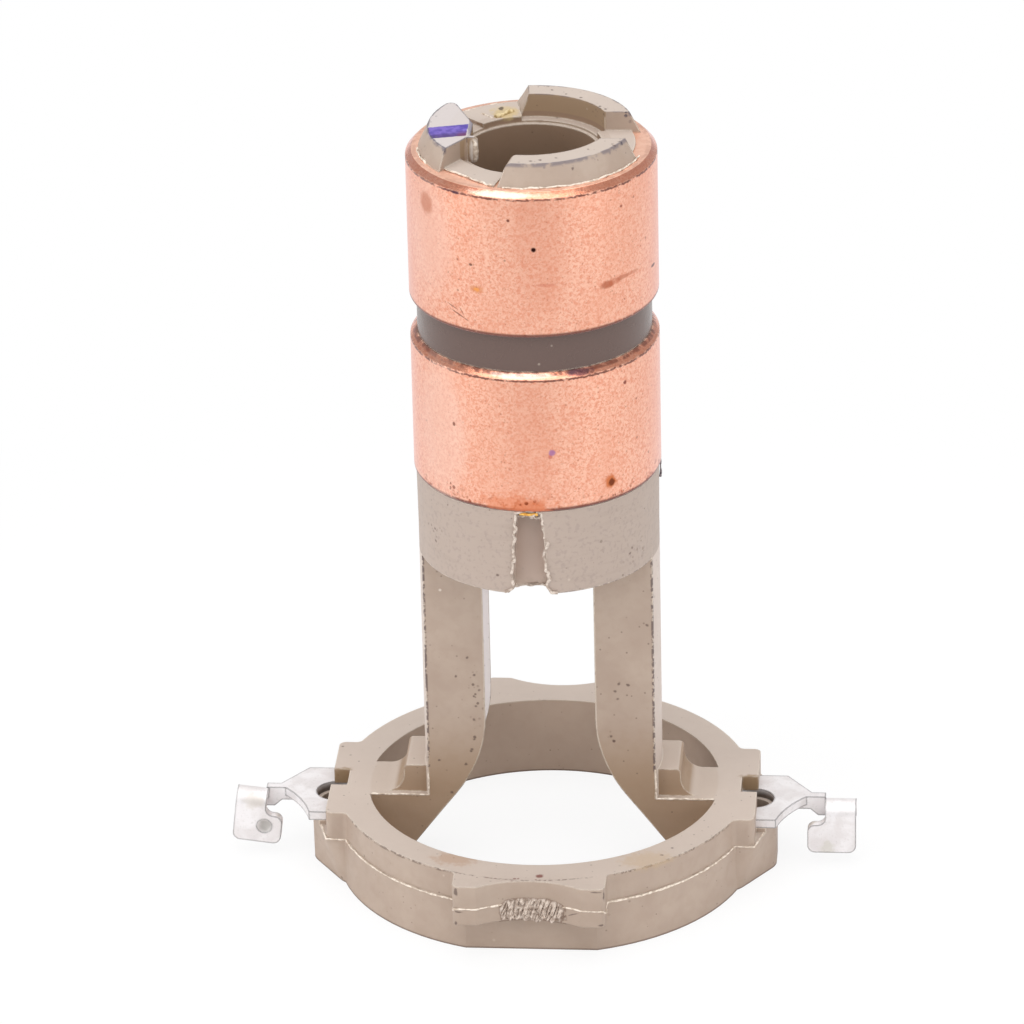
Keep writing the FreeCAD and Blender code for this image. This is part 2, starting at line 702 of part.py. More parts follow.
upper_slip_ring = copper_ring(UPPER_RING_BOTTOM, UPPER_RING_LENGTH)
lower_slip_ring = copper_ring(LOWER_RING_BOTTOM, LOWER_RING_LENGTH)
right_terminal = terminal(UPPER_RING_BOTTOM + UPPER_RING_LENGTH / 2, 0.0, 0.0)
left_terminal = mirrored_x(
    terminal(LOWER_RING_BOTTOM + LOWER_RING_LENGTH / 2, LEFT_HOOK_LEAN, DIMPLE_DEPTH)
)
nodes = {
    "upper_slip_ring": upper_slip_ring,
    "lower_slip_ring": lower_slip_ring,
    "right_terminal": right_terminal,
    "left_terminal": left_terminal,
}
nodes["insulator_body"] = insulator_body(list(nodes.values()))
for name, shape in nodes.items():
    shape.exportStep("parts/" + name + ".step")
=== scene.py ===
"""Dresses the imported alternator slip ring: its pieces, their finishes, the studio and the camera."""
import logging
import math
from dataclasses import dataclass, replace
from enum import Enum
from functools import reduce

import bmesh
import bpy
from mathutils import Matrix, Vector, noise


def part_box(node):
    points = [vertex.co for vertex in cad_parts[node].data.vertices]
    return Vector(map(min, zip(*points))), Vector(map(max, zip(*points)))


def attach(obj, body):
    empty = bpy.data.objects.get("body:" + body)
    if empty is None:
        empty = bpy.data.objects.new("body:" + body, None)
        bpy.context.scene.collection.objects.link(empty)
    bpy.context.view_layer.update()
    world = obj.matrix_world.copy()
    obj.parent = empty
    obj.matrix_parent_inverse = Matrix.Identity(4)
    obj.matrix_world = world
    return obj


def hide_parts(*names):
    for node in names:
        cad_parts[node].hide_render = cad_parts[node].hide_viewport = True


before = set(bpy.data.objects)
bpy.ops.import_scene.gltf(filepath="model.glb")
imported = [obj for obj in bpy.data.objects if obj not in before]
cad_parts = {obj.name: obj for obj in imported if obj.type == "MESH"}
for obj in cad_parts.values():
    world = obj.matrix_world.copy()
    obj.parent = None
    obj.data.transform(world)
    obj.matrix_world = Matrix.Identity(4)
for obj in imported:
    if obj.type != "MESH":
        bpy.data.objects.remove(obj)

MM = 0.001
BODY = "root"
PICTURE_WIDTH = 1024

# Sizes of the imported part, in millimetres
BORE_R = 4.2
COLLAR_R = 7.72
COLLAR_BOTTOM = 22.65
SLOT_FLOOR = 6.42
LEG_R = 7.68
LEG_FACE = 2.25
BASE_R = 13.5
BASE_OPENING_R = 11.42
BASE_TOP = 5.31
PARTING = 3.35
PAD_FACE = 14.5
SCALLOP = 3.3
SCALLOP_DEPTH = 0.95
LUG_TOP = 51.41
LUG_TOP_R = 6.4
SHORT_LUG_SIDE = -3.4
LIP_TOP = 50.15
PIN_HOLE = 13.65
# First and last angle of the front lip between the lugs, in degrees from +x
FRONT_LIP = (-157.0, -104.6)
# Nearest and farthest place of the ink stripe along y, where x is 0
INK = (-0.86, 0.99)

Point = tuple[float, float, float]
Colour = tuple[float, float, float]
Socket = bpy.types.NodeSocket
Value = Socket | float
Coat = tuple[Value, float, Colour]
Outline = list[tuple[float, float]]
Path = list[Point]

log = logging.getLogger("slip_ring")


class Slot(Enum):
    """Material slots that the new pieces are passed with."""

    INSULATOR = "insulator"
    COPPER = "copper"


def rgb(red: float, green: float, blue: float) -> Colour:
    """Turns a colour as a screen shows it into the light that the shaders work in.

    Args:
        red: Red from 0 to 255.
        green: Green from 0 to 255.
        blue: Blue from 0 to 255.

    Returns:
        The three linear values from 0 to 1.
    """
    return tuple(((v / 255 + 0.055) / 1.055) ** 2.4 for v in (red, green, blue))


@dataclass(frozen=True)
class Mark:
    """A spot or streak that lies on the object, as an ellipsoid with a ragged edge.

    Attributes:
        centre: Middle of the mark in millimetres.
        reach: Half sizes along x, y and z in millimetres.
        colour: Colour of the mark.
        strength: Cover at the mark's middle, from 0 to 1.
        ragged: Share by which noise moves its edge.
        turn: Angle in degrees by which it is turned in the xz plane.
    """

    centre: Point
    reach: Point
    colour: Colour
    strength: float = 1.0
    ragged: float = 0.5
    turn: float = 0.0


class Swarm(Mark):
    """A mark that is broken up into specks."""


def both_sides(mark: Mark) -> tuple[Mark, Mark]:
    """A mark at the right terminal, and its mirror image at the left one."""
    x, y, z = mark.centre
    return mark, replace(mark, centre=(-x, y, z))


class Graph:
    """A node tree under construction, with short names for the nodes that every tree uses."""

    def __init__(self, tree: bpy.types.NodeTree) -> None:
        """Empties the tree."""
        self.tree = tree
        tree.nodes.clear()

    def add(self, kind: str, inputs: dict | None = None, **settings: object) -> bpy.types.Node:
        """Adds a node.

        Args:
            kind: The node's type name.
            inputs: Values or sockets to put on its inputs, by name or number.
            **settings: Properties of the node.

        Returns:
            The new node.
        """
        node = self.tree.nodes.new(kind)
        for key, value in settings.items():
            setattr(node, key, value)
        for key, value in (inputs or {}).items():
            if isinstance(value, bpy.types.NodeSocket):
                self.tree.links.new(value, node.inputs[key])
            elif isinstance(value, tuple) and node.inputs[key].type == "RGBA":
                node.inputs[key].default_value = (*value, 1.0)
            else:
                node.inputs[key].default_value = value
        return node

    def math(self, operation: str, first: Value, second: Value = 0.0, third: Value = 0.0) -> Socket:
        """Works out one value from two or three."""
        return self.add("ShaderNodeMath", {0: first, 1: second, 2: third}, operation=operation).outputs[0]

    def vector(self, operation: str, inputs: dict, output: str = "Vector") -> Socket:
        """Works out a vector, or where the output says so a value, from these inputs."""
        return self.add("ShaderNodeVectorMath", inputs, operation=operation).outputs[output]

    def any_of(self, *masks: Value) -> Socket:
        """Mask of the places that at least one mask holds."""
        return reduce(lambda first, second: self.math("MAXIMUM", first, second), masks)

    def all_of(self, *masks: Value) -> Socket:
        """Mask of the places that every mask holds."""
        return reduce(lambda first, second: self.math("MULTIPLY", first, second), masks)


class ShaderGraph(Graph):
    """A material under construction, whose patterns are measured in millimetres on the object."""

    def __init__(self, name: str) -> None:
        """Starts an empty material and works out the place on the object."""
        self.material = bpy.data.materials.new(name)
        self.material.use_nodes = True
        super().__init__(self.material.node_tree)
        place = self.add("ShaderNodeTexCoord").outputs["Object"]
        self.mm = self.vector("SCALE", {0: place, "Scale": 1 / MM})
        self.x, self.y, self.z = self.add("ShaderNodeSeparateXYZ", {0: self.mm}).outputs
        flat = self.add("ShaderNodeCombineXYZ", {0: self.x, 1: self.y}).outputs[0]
        self.radius = self.vector("LENGTH", {0: flat}, "Value")

    def rise(self, value: Value, start: float, end: float) -> Socket:
        """Value from 0 to 1 that climbs smoothly as the given one goes from start to end."""
        inputs = {"Value": value, "From Min": start, "From Max": end}
        return self.add("ShaderNodeMapRange", inputs, interpolation_type="SMOOTHSTEP").outputs[0]

    def above(self, value: Value, limit: float, soft: float) -> Socket:
        """Mask of where a value is above a limit, with an edge of the given softness."""
        return self.rise(value, limit - soft / 2, limit + soft / 2)

    def below(self, value: Value, limit: float, soft: float) -> Socket:
        """Mask of where a value is below a limit, with an edge of the given softness."""
        return self.rise(value, limit + soft / 2, limit - soft / 2)

    def band(self, value: Value, low: float, high: float, soft: float) -> Socket:
        """Mask of the stretch between two values, with edges of the given softness."""
        return self.all_of(self.above(value, low, soft), self.below(value, high, soft))

    def grain(
        self, size: float, detail: float = 3.0, warp: float = 0.0, stretch: Point = (1, 1, 1)
    ) -> Socket:
        """Noise from 0 to 1.

        Args:
            size: Size of its lumps in millimetres.
            detail: Number of finer layers.
            warp: How far the lumps are drawn into worms.
            stretch: How much shorter the lumps are along x, y and z.

        Returns:
            The noise value.
        """
        place = self.add("ShaderNodeMapping", {"Vector": self.mm, "Scale": stretch}).outputs[0]
        inputs = {"Vector": place, "Scale": 1 / size, "Detail": detail, "Distortion": warp}
        return self.add("ShaderNodeTexNoise", inputs).outputs[0]

    def specks(self, size: float, spacing: float, share: float) -> Socket:
        """Mask of sparse specks.

        Args:
            size: Largest radius of a speck in millimetres.
            spacing: Distance between the places where a speck may lie.
            share: Share of those places that have one.

        Returns:
            The mask, from 0 to 1.
        """
        cells = self.add("ShaderNodeTexVoronoi", {"Vector": self.mm, "Scale": 1 / spacing})
        lot = self.add("ShaderNodeSeparateColor", {0: cells.outputs["Color"]})
        chosen = self.math("LESS_THAN", lot.outputs[0], share)
        radius = self.math("MULTIPLY", lot.outputs[1], size / spacing)
        inside = self.math("SUBTRACT", radius, cells.outputs["Distance"])
        return self.all_of(chosen, self.rise(inside, -0.1 * size / spacing, 0.25 * size / spacing))

    def mix(self, share: Value, first: Colour | Socket, second: Colour | Socket) -> Socket:
        """Colour between two, the second at this share."""
        inputs = {0: share, 6: first, 7: second}
        return self.add("ShaderNodeMix", inputs, data_type="RGBA", clamp_factor=True).outputs[2]

    def coated(self, colour: Socket, *coats: Coat) -> Socket:
        """Lays coats over a colour in order, each a mask, its share of full cover and its colour."""
        for mask, share, over in coats:
            colour = self.mix(self.math("MULTIPLY", mask, share), colour, over)
        return colour

    def mark(self, mark: Mark, wobble: Socket) -> Socket:
        """Mask of one mark.

        Args:
            mark: The mark.
            wobble: Noise that frays its edge.

        Returns:
            The mask, from 0 to the mark's strength.
        """
        away = self.vector("SUBTRACT", {0: self.mm, 1: mark.centre})
        if mark.turn:
            spin = {"Vector": away, "Angle": math.radians(mark.turn)}
            away = self.add("ShaderNodeVectorRotate", spin, rotation_type="Y_AXIS").outputs[0]
        far = self.vector("LENGTH", {0: self.vector("DIVIDE", {0: away, 1: mark.reach})}, "Value")
        edge = self.math("ADD", far, self.math("MULTIPLY_ADD", wobble, 2 * mark.ragged, -mark.ragged))
        mask = self.rise(edge, 1.25, 0.55)
        if isinstance(mark, Swarm):
            mask = self.all_of(mask, self.specks(0.14, 0.27, 0.6))
        return self.math("MULTIPLY", mask, mark.strength)

    def marked(self, colour: Socket, marks: tuple[Mark, ...], wobble_size: float) -> Socket:
        """Lays marks over a colour, one after another."""
        wobble = self.grain(wobble_size, 4.0)
        for mark in marks:
            colour = self.mix(self.mark(mark, wobble), colour, mark.colour)
        return colour

    def spotted(self, colour: Socket, spots: tuple[Point, ...], radius: float, over: Colour) -> Socket:
        """Lays small ragged spots of one colour on a surface.

        Args:
            colour: Colour under the spots.
            spots: Their middles in millimetres.
            radius: Their mean radius.
            over: Their colour.

        Returns:
            The colour with the spots on it.
        """
        far = [self.vector("DISTANCE", {0: self.mm, 1: spot}, "Value") for spot in spots]
        nearest = reduce(lambda first, second: self.math("MINIMUM", first, second), far)
        fray = self.math("MULTIPLY_ADD", self.grain(2.2 * radius, 3.0), 2.4 * radius, nearest)
        return self.coated(colour, (self.rise(fray, 2.6 * radius, 1.5 * radius), 0.8, over))

    def bump(self, height: Socket, depth: float, normal: Socket | None = None) -> Socket:
        """Normal of a surface roughened by a height from 0 to 1, its depth in millimetres."""
        inputs = {"Height": height, "Distance": depth * MM, "Strength": 1.0}
        if normal is not None:
            inputs["Normal"] = normal
        return self.add("ShaderNodeBump", inputs).outputs[0]

    def soft_edges(self, width: float) -> tuple[Socket, Socket]:
        """Rounded edges.

        Args:
            width: Radius of the rounding in millimetres.

        Returns:
            The rounded normal, and a mask of the edges that it rounds.
        """
        soft = self.add("ShaderNodeBevel", {"Radius": width * MM}, samples=4).outputs[0]
        flat = self.add("ShaderNodeNewGeometry").outputs["Normal"]
        same = self.vector("DOT_PRODUCT", {0: soft, 1: flat}, "Value")
        return soft, self.rise(same, 0.992, 0.95)

    def facing_up(self) -> Socket:
        """Mask of the faces that look up."""
        normal = self.add("ShaderNodeNewGeometry").outputs["Normal"]
        return self.rise(self.add("ShaderNodeSeparateXYZ", {0: normal}).outputs["Z"], 0.75, 0.95)

    def finish(self, inputs: dict) -> bpy.types.Material:
        """Ends the material in one surface shader with these inputs."""
        shader = self.add("ShaderNodeBsdfPrincipled", inputs)
        self.add("ShaderNodeOutputMaterial", {"Surface": shader.outputs[0]})
        return self.material


@dataclass(frozen=True)
class TurnedCopper:
    """Satin turned copper, mottled, with handling stains, a dotted grime line under its chamfer, painted
    shade along its lower edge and painted highlights and reflections.

    Attributes:
        name: Name of the material.
        bottom: Height of the ring's lower end in millimetres.
        top: Height of its upper end.
        dirt_and_shade: Cover of the dark line round its upper end, which is grime and painted shade, and of
            the blots at its lower end, from 0 to 1.
        marks: Stains on it, and painted highlights and reflections.
    """

    name: str
    bottom: float
    top: float
    dirt_and_shade: float
    marks: tuple[Mark, ...]

    def build(self) -> bpy.types.Material:
        """Makes the material."""
        graph = ShaderGraph(self.name)
        worms = graph.grain(0.19, 2.0, 0.8)
        fine = graph.grain(0.11, 2.0, 0.5)
        clouds = graph.grain(2.2, 2.0, 0.4, (1, 1, 0.35))
        colour = graph.mix(graph.rise(worms, 0.28, 0.66), rgb(236, 159, 131), rgb(253, 199, 174))
        colour = graph.coated(
            colour,
            (graph.rise(clouds, 0.42, 0.7), 0.35, rgb(240, 170, 142)),
            (graph.rise(fine, 0.56, 0.72), 0.45, rgb(196, 120, 94)),
            (graph.specks(0.07, 0.24, 0.3), 0.4, rgb(170, 96, 74)),
            (graph.specks(0.1, 0.6, 0.16), 0.5, rgb(134, 72, 54)),
        )
        colour, dirt_and_shade = self.soiled_shaded_and_lit_ends(graph, colour)
        colour = graph.marked(colour, self.marks, 0.4)
        chamfer = graph.above(graph.z, self.top - 0.335, 0.07)
        roughness = graph.math("MULTIPLY_ADD", worms, 0.2, 0.26)
        height = graph.math("MULTIPLY_ADD", fine, 0.4, graph.math("MULTIPLY", worms, 0.6))
        return graph.finish({
            "Base Color": colour,
            # Less metallic under the darkest grime and painted shade, and on the faces that look up, which
            # carry a painted highlight
            "Metallic": graph.math("MULTIPLY_ADD", graph.any_of(dirt_and_shade, graph.facing_up()), -0.65, 1.0),
            "Roughness": graph.math("MULTIPLY_ADD", chamfer, -0.14, roughness),
            "Sheen Weight": 0.3,
            "Sheen Roughness": 0.4,
            "Sheen Tint": rgb(232, 222, 240),
            "Normal": graph.bump(height, 0.012),
        })

    def soiled_shaded_and_lit_ends(self, graph: ShaderGraph, colour: Socket) -> tuple[Socket, Socket]:
        """Soils both ends and the dotted line under the chamfer, paints shade along the lower edge and,
        with the grime, round the upper edge, tints the chamfer and paints the top paler as a highlight.

        Args:
            graph: Material under construction.
            colour: Colour of the clean copper.

        Returns:
            The soiled and shaded colour, and the mask of the darkest grime and painted shade.
        """
        ragged, dotted = graph.grain(0.5, 4.0), graph.grain(0.22, 3.0)
        up, out, bottom, top = graph.z, graph.radius, self.bottom, self.top
        strayed = graph.math("MULTIPLY_ADD", dotted, 0.2, up)
        line = graph.band(strayed, top - 0.4, top - 0.27, 0.06)
        ridge = graph.all_of(line, graph.rise(ragged, 0.36, 0.5))
        # Grime and painted shade: a dark line round the upper inner edge, beside the groove
        root = graph.all_of(graph.above(up, top - 0.19, 0.1), graph.above(out, 7.2, 0.2))
        root = graph.all_of(root, graph.rise(ragged, 0.35, 0.55), self.dirt_and_shade)
        # Painted shade along the lower edge
        low = graph.all_of(graph.below(up, bottom + 0.28, 0.16), graph.rise(dotted, 0.2, 0.4))
        blots = graph.all_of(graph.below(up, bottom + 0.85, 1.3), graph.rise(ragged, 0.5, 0.62))
        tarnish = graph.all_of(graph.above(up, top - 0.15, 0.3), graph.rise(ragged, 0.42, 0.6))
        # The darkest grime together with the painted shade
        dirt_and_shade = graph.any_of(ridge, root, low)
        colour = graph.coated(
            colour,
            (graph.all_of(blots, graph.rise(dotted, 0.4, 0.6)), self.dirt_and_shade, rgb(168, 82, 52)),
            (graph.above(up, top - 0.335, 0.07), 0.5, rgb(240, 146, 110)),
            # Painted highlight: the faces that look up are paler
            (graph.facing_up(), 0.6, rgb(255, 214, 186)),
            (tarnish, 0.15, rgb(200, 122, 94)),
            (dirt_and_shade, 0.9, rgb(96, 42, 28)),
        )
        return colour, dirt_and_shade


@dataclass(frozen=True)
class FilledMoulding:
    """Tan filled moulding compound: matt, clouded and specked, greyer where it was turned, with painted
    shade in its hollows and painted light on its tops and on some faces.

    Attributes:
        collar: Lower and upper height of the turned collar in millimetres.
        groove: Lower and upper height of the barrier between the rings.
        top: Height of the lugs' tops.
        ink: Nearest and farthest place of the ink stripe along y, where x is 0.
        marks: Stains and scorches on it, and painted shade and light.
        spots: Middles of its larger dark specks.
    """

    collar: tuple[float, float]
    groove: tuple[float, float]
    top: float
    ink: tuple[float, float]
    marks: tuple[Mark, ...]
    spots: tuple[Point, ...]

    def build(self) -> bpy.types.Material:
        """Makes the material."""
        graph = ShaderGraph("filled_moulding")
        clouds = graph.grain(3.2, 4.0, 0.5)
        mottle = graph.grain(0.7, 4.0, 0.3)
        fine = graph.grain(0.16, 2.0)
        colour = graph.mix(graph.rise(clouds, 0.3, 0.7), rgb(172, 152, 137), rgb(180, 161, 146))
        colour = graph.coated(colour, (graph.rise(mottle, 0.4, 0.7), 0.2, rgb(162, 140, 122)))
        colour = self.turned(graph, colour)
        colour = self.zoned(graph, colour)
        colour = self.specked(graph, colour, mottle)
        colour = self.inked(graph, colour)
        soft, edges = graph.soft_edges(0.14)
        colour = self.worn(graph, colour, edges, mottle)
        colour = self.soiled_and_shaded(graph, colour, edges, mottle)
        colour = graph.marked(colour, self.marks, 0.35)
        colour = graph.spotted(colour, self.spots, 0.1, rgb(92, 72, 64))
        roughness = graph.math("MULTIPLY_ADD", mottle, 0.2, 0.4)
        height = graph.math("MULTIPLY_ADD", fine, 0.25, graph.math("MULTIPLY", mottle, 0.5))
        return graph.finish({
            "Base Color": colour,
            "Roughness": graph.math("MULTIPLY_ADD", self.in_groove(graph), -0.25, roughness),
            "Specular IOR Level": 0.5,
            "Normal": graph.bump(height, 0.02, soft),
        })

    def in_groove(self, graph: ShaderGraph) -> Socket:
        """Mask of the barrier between the rings."""
        return graph.all_of(graph.band(graph.z, *self.groove, 0.02), graph.above(graph.radius, 7.0, 0.2))

    def on_short_lug(self, graph: ShaderGraph) -> Socket:
        """Mask of the short lug's side of the part."""
        return graph.below(graph.x, SHORT_LUG_SIDE, 0.2)

    def turned(self, graph: ShaderGraph, colour: Socket) -> Socket:
        """Colours the collar greyer, with faint turning lines and pits."""
        collar = graph.all_of(graph.band(graph.z, *self.collar, 0.1), graph.above(graph.radius, 7.3, 0.2))
        lines = graph.rise(graph.grain(0.3, 2.0, 0.0, (0.08, 0.08, 1.0)), 0.52, 0.66)
        pits = graph.rise(graph.grain(0.26, 3.0), 0.53, 0.66)
        return graph.coated(
            colour,
            (collar, 0.8, rgb(178, 161, 150)),
            (graph.all_of(collar, lines), 0.2, rgb(162, 145, 134)),
            (graph.all_of(collar, pits), 0.35, rgb(150, 134, 128)),
        )

    def zoned(self, graph: ShaderGraph, colour: Socket) -> Socket:
        """Darkens the feet, the bore and the groove with painted shade, the bore and the groove over a
        browner and greyer tone of their own, pales the legs' curved faces and the tops with painted light,
        and tints the base ring's inner wall.
        """
        up, out = graph.z, graph.radius
        between_faces = graph.below(graph.math("ABSOLUTE", graph.y), LEG_FACE - 0.03, 0.04)
        bore = graph.below(out, BORE_R + 0.81, 0.08)
        feet = graph.all_of(
            graph.below(up, BASE_TOP + 3.5, 6.0), graph.below(out, BASE_OPENING_R - 0.12, 0.2)
        )
        flank = graph.all_of(
            graph.band(out, LEG_R - 0.05, LEG_R + 0.05, 0.04), between_faces,
            graph.band(up, BASE_TOP, COLLAR_BOTTOM, 0.1),
        )
        wall = graph.all_of(bore, between_faces, graph.below(up, COLLAR_BOTTOM - 0.15, 0.2))
        opening = graph.all_of(
            graph.band(out, BASE_OPENING_R - 0.04, BASE_OPENING_R + 0.04, 0.04),
            graph.below(up, BASE_TOP - 0.05, 0.1),
        )
        inside = graph.all_of(bore, graph.above(up, COLLAR_BOTTOM - 0.15, 0.2))
        short_top = graph.all_of(graph.above(up, self.top - 0.05, 0.1), self.on_short_lug(graph))
        return graph.coated(
            colour,
            # Painted shade on the feet and the base round them
            (feet, 0.6, rgb(152, 122, 90)),
            # Painted light: the legs' outer curved faces paler, their inner faces almost white
            (flank, 0.6, rgb(222, 208, 200)),
            (wall, 0.95, rgb(248, 242, 242)),
            (opening, 0.35, rgb(186, 164, 146)),
            # Painted shade in the bore and on the lugs' inner faces, over a browner tone of their own
            (inside, 0.7, rgb(142, 112, 86)),
            (graph.all_of(inside, graph.above(up, self.top - 1.15, 0.1)), 0.8, rgb(166, 140, 112)),
            # Painted light: the faces that look up are paler
            (graph.facing_up(), 0.6, rgb(214, 201, 191)),
            (short_top, 0.6, rgb(212, 206, 208)),
            # Painted shade in the groove, over the barrier's greyer tone
            (self.in_groove(graph), 0.95, rgb(92, 71, 65)),
        )

    def specked(self, graph: ShaderGraph, colour: Socket, mottle: Socket) -> Socket:
        """Scatters dark filler specks, fewer where the mottle darkens the colour, and pale ones."""
        dark = graph.any_of(graph.specks(0.13, 0.62, 0.14), graph.specks(0.07, 0.28, 0.16))
        return graph.coated(
            colour,
            (graph.all_of(dark, graph.rise(mottle, 0.7, 0.4)), 0.6, rgb(96, 78, 66)),
            (graph.specks(0.11, 0.8, 0.1), 0.3, rgb(216, 202, 186)),
        )

    def inked(self, graph: ShaderGraph, colour: Socket) -> Socket:
        """Prints the ink stripe across the top of the short lug."""
        wobble = graph.grain(0.4, 3.0)
        tilted = graph.math("MULTIPLY_ADD", graph.x, -0.26, graph.y)
        across = graph.math("MULTIPLY_ADD", wobble, 0.16, tilted)
        end = graph.below(graph.math("MULTIPLY_ADD", wobble, 0.2, graph.x), -3.76, 0.08)
        stripe = graph.all_of(
            graph.above(graph.z, self.top - 0.05, 0.1), end, graph.band(across, *self.ink, 0.08)
        )
        near = graph.below(across, self.ink[0] + 0.55, 0.8)
        ink = graph.mix(graph.rise(wobble, 0.4, 0.65), rgb(84, 66, 160), rgb(120, 98, 190))
        ink = graph.coated(
            ink,
            (near, 0.8, rgb(70, 42, 104)),
            (graph.all_of(near, graph.above(graph.x, -4.4, 0.4)), 0.7, rgb(112, 44, 84)),
        )
        return graph.mix(stripe, colour, ink)

    def worn(self, graph: ShaderGraph, colour: Socket, edges: Socket, mottle: Socket) -> Socket:
        """Wears the edges pale and ragged, and outlines and specks the lugs' tops in grey."""
        tops = graph.above(graph.z, self.top - 0.35, 0.3)
        faded = graph.math("MULTIPLY_ADD", graph.above(graph.z, PARTING - 0.15, 0.8), 0.8, 0.2)
        pale = graph.all_of(edges, graph.rise(mottle, 0.25, 0.5), graph.rise(tops, 1.0, 0.0), faded)
        rim = graph.band(graph.radius, LUG_TOP_R - 0.1, LUG_TOP_R + 0.08, 0.08)
        outline = graph.all_of(tops, graph.any_of(edges, rim), graph.rise(mottle, 0.4, 0.56))
        short = graph.all_of(tops, self.on_short_lug(graph), graph.rise(edges, 0.1, 0.6))
        specks = graph.all_of(tops, graph.above(graph.radius, 6.0, 0.6), graph.specks(0.12, 0.3, 0.4))
        return graph.coated(
            colour,
            (pale, 0.75, rgb(240, 228, 212)),
            (specks, 0.5, rgb(112, 104, 110)),
            (outline, 0.7, rgb(112, 104, 112)),
            (short, 0.8, rgb(88, 82, 94)),
        )

    def soiled_and_shaded(self, graph: ShaderGraph, colour: Socket, edges: Socket, mottle: Socket) -> Socket:
        """Dots grime down the legs' outer corners, along the collar's hem and on the base ring's top edge,
        and paints shade along the base's bottom edge.
        """
        up, out = graph.z, graph.radius
        dotted = graph.rise(graph.grain(0.24, 3.0), 0.42, 0.54)
        across = graph.math("ABSOLUTE", graph.y)
        corner = graph.all_of(
            graph.above(across, LEG_FACE - 0.115, 0.07),
            graph.above(out, LEG_R - 0.12, 0.08), graph.below(out, LEG_R + 0.27, 0.1),
            graph.band(up, BASE_TOP + 2, COLLAR_BOTTOM, 0.2), dotted,
        )
        hem = graph.all_of(
            graph.band(up, COLLAR_BOTTOM - 0.1, COLLAR_BOTTOM + 0.12, 0.1), edges,
            graph.above(out, 7.4, 0.2), graph.rise(graph.x, -3.0, 1.0), dotted,
        )
        brim = graph.all_of(
            graph.above(up, BASE_TOP - 0.16, 0.08), graph.band(out, BASE_R - 0.12, BASE_R + 0.03, 0.05),
            graph.below(graph.y, -5.4, 0.4), dotted, graph.rise(mottle, 0.36, 0.6),
        )
        return graph.coated(
            colour,
            (corner, 0.85, rgb(94, 76, 74)),
            (hem, 0.8, rgb(120, 104, 106)),
            (brim, 0.7, rgb(98, 76, 66)),
            # Painted shade: darker along the bottom edge, where the part meets the floor
            (graph.below(up, 0.11, 0.1), 0.7, rgb(108, 88, 76)),
        )


@dataclass(frozen=True)
class RoughLump:
    """Fresh break, thin flash or resin, rougher than the skin of the moulding.

    Attributes:
        name: Name of the material.
        dark: Its darker colour.
        light: Its lighter colour.
    """

    name: str
    dark: Colour
    light: Colour

    def build(self) -> bpy.types.Material:
        """Makes the material, with painted shade in the hollows where the piece says how deep it lies."""
        graph = ShaderGraph(self.name)
        lumps = graph.grain(0.3, 4.0, 0.5)
        fine = graph.grain(0.09, 2.0)
        colour = graph.mix(graph.rise(lumps, 0.35, 0.62), self.dark, self.light)
        hollow = graph.add("ShaderNodeAttribute", attribute_name="hollow").outputs["Fac"]
        # Painted shade where the piece lies low
        colour = graph.coated(colour, (hollow, 0.9, rgb(118, 94, 78)))
        return graph.finish({
            "Base Color": colour,
            "Roughness": graph.rise(lumps, -0.6, 1.4),
            "Specular IOR Level": 0.35,
            "Normal": graph.bump(fine, 0.02),
        })


@dataclass(frozen=True)
class TinnedSheet:
    """Pale tinned sheet metal, clouded by dipping and lightly soiled.

    Attributes:
        marks: Dark spots on it.
    """

    marks: tuple[Mark, ...]

    def build(self) -> bpy.types.Material:
        """Makes the material."""
        graph = ShaderGraph("tinned_sheet")
        clouds = graph.grain(1.4, 3.0, 0.5)
        fine = graph.grain(0.14, 3.0, 0.5)
        colour = graph.mix(graph.rise(clouds, 0.35, 0.65), rgb(228, 223, 223), rgb(241, 238, 239))
        colour = graph.coated(colour, (graph.rise(fine, 0.55, 0.75), 0.35, rgb(190, 186, 180)))
        soft, edges = graph.soft_edges(0.16)
        colour = graph.marked(colour, self.marks, 0.4)
        colour = graph.coated(colour, (edges, 0.9, rgb(106, 104, 104)))
        height = graph.math("MULTIPLY_ADD", fine, 0.3, graph.math("MULTIPLY", clouds, 0.4))
        return graph.finish({
            "Base Color": colour,
            "Metallic": graph.math("MULTIPLY_ADD", graph.facing_up(), -0.3, 0.45),
            "Roughness": graph.math("MULTIPLY_ADD", clouds, 0.12, 0.42),
            "Normal": graph.bump(height, 0.008, soft),
        })


def new_piece(name: str, mesh: bpy.types.Mesh, finish: bpy.types.Material) -> bpy.types.Object:
    """Puts a mesh in the scene under a name, with one finish."""
    piece = bpy.data.objects.new(name, mesh)
    mesh.name = name
    mesh.materials.clear()
    mesh.materials.append(finish)
    bpy.context.scene.collection.objects.link(piece)
    return piece


def settle(piece: bpy.types.Object, slot: Slot, *nodes: str) -> None:
    """Gives a finished piece to the body and hides the nodes that it stands for."""
    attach(piece, BODY)
    if nodes:
        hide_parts(*nodes)
    log.info("%s: %d faces", piece.name, len(piece.data.polygons))


def made_plain(piece: bpy.types.Object) -> bpy.types.Mesh:
    """Mesh that a piece's modifiers give, after which the piece has none."""
    graph = bpy.context.evaluated_depsgraph_get()
    mesh = bpy.data.meshes.new_from_object(piece.evaluated_get(graph))
    piece.modifiers.clear()
    return mesh


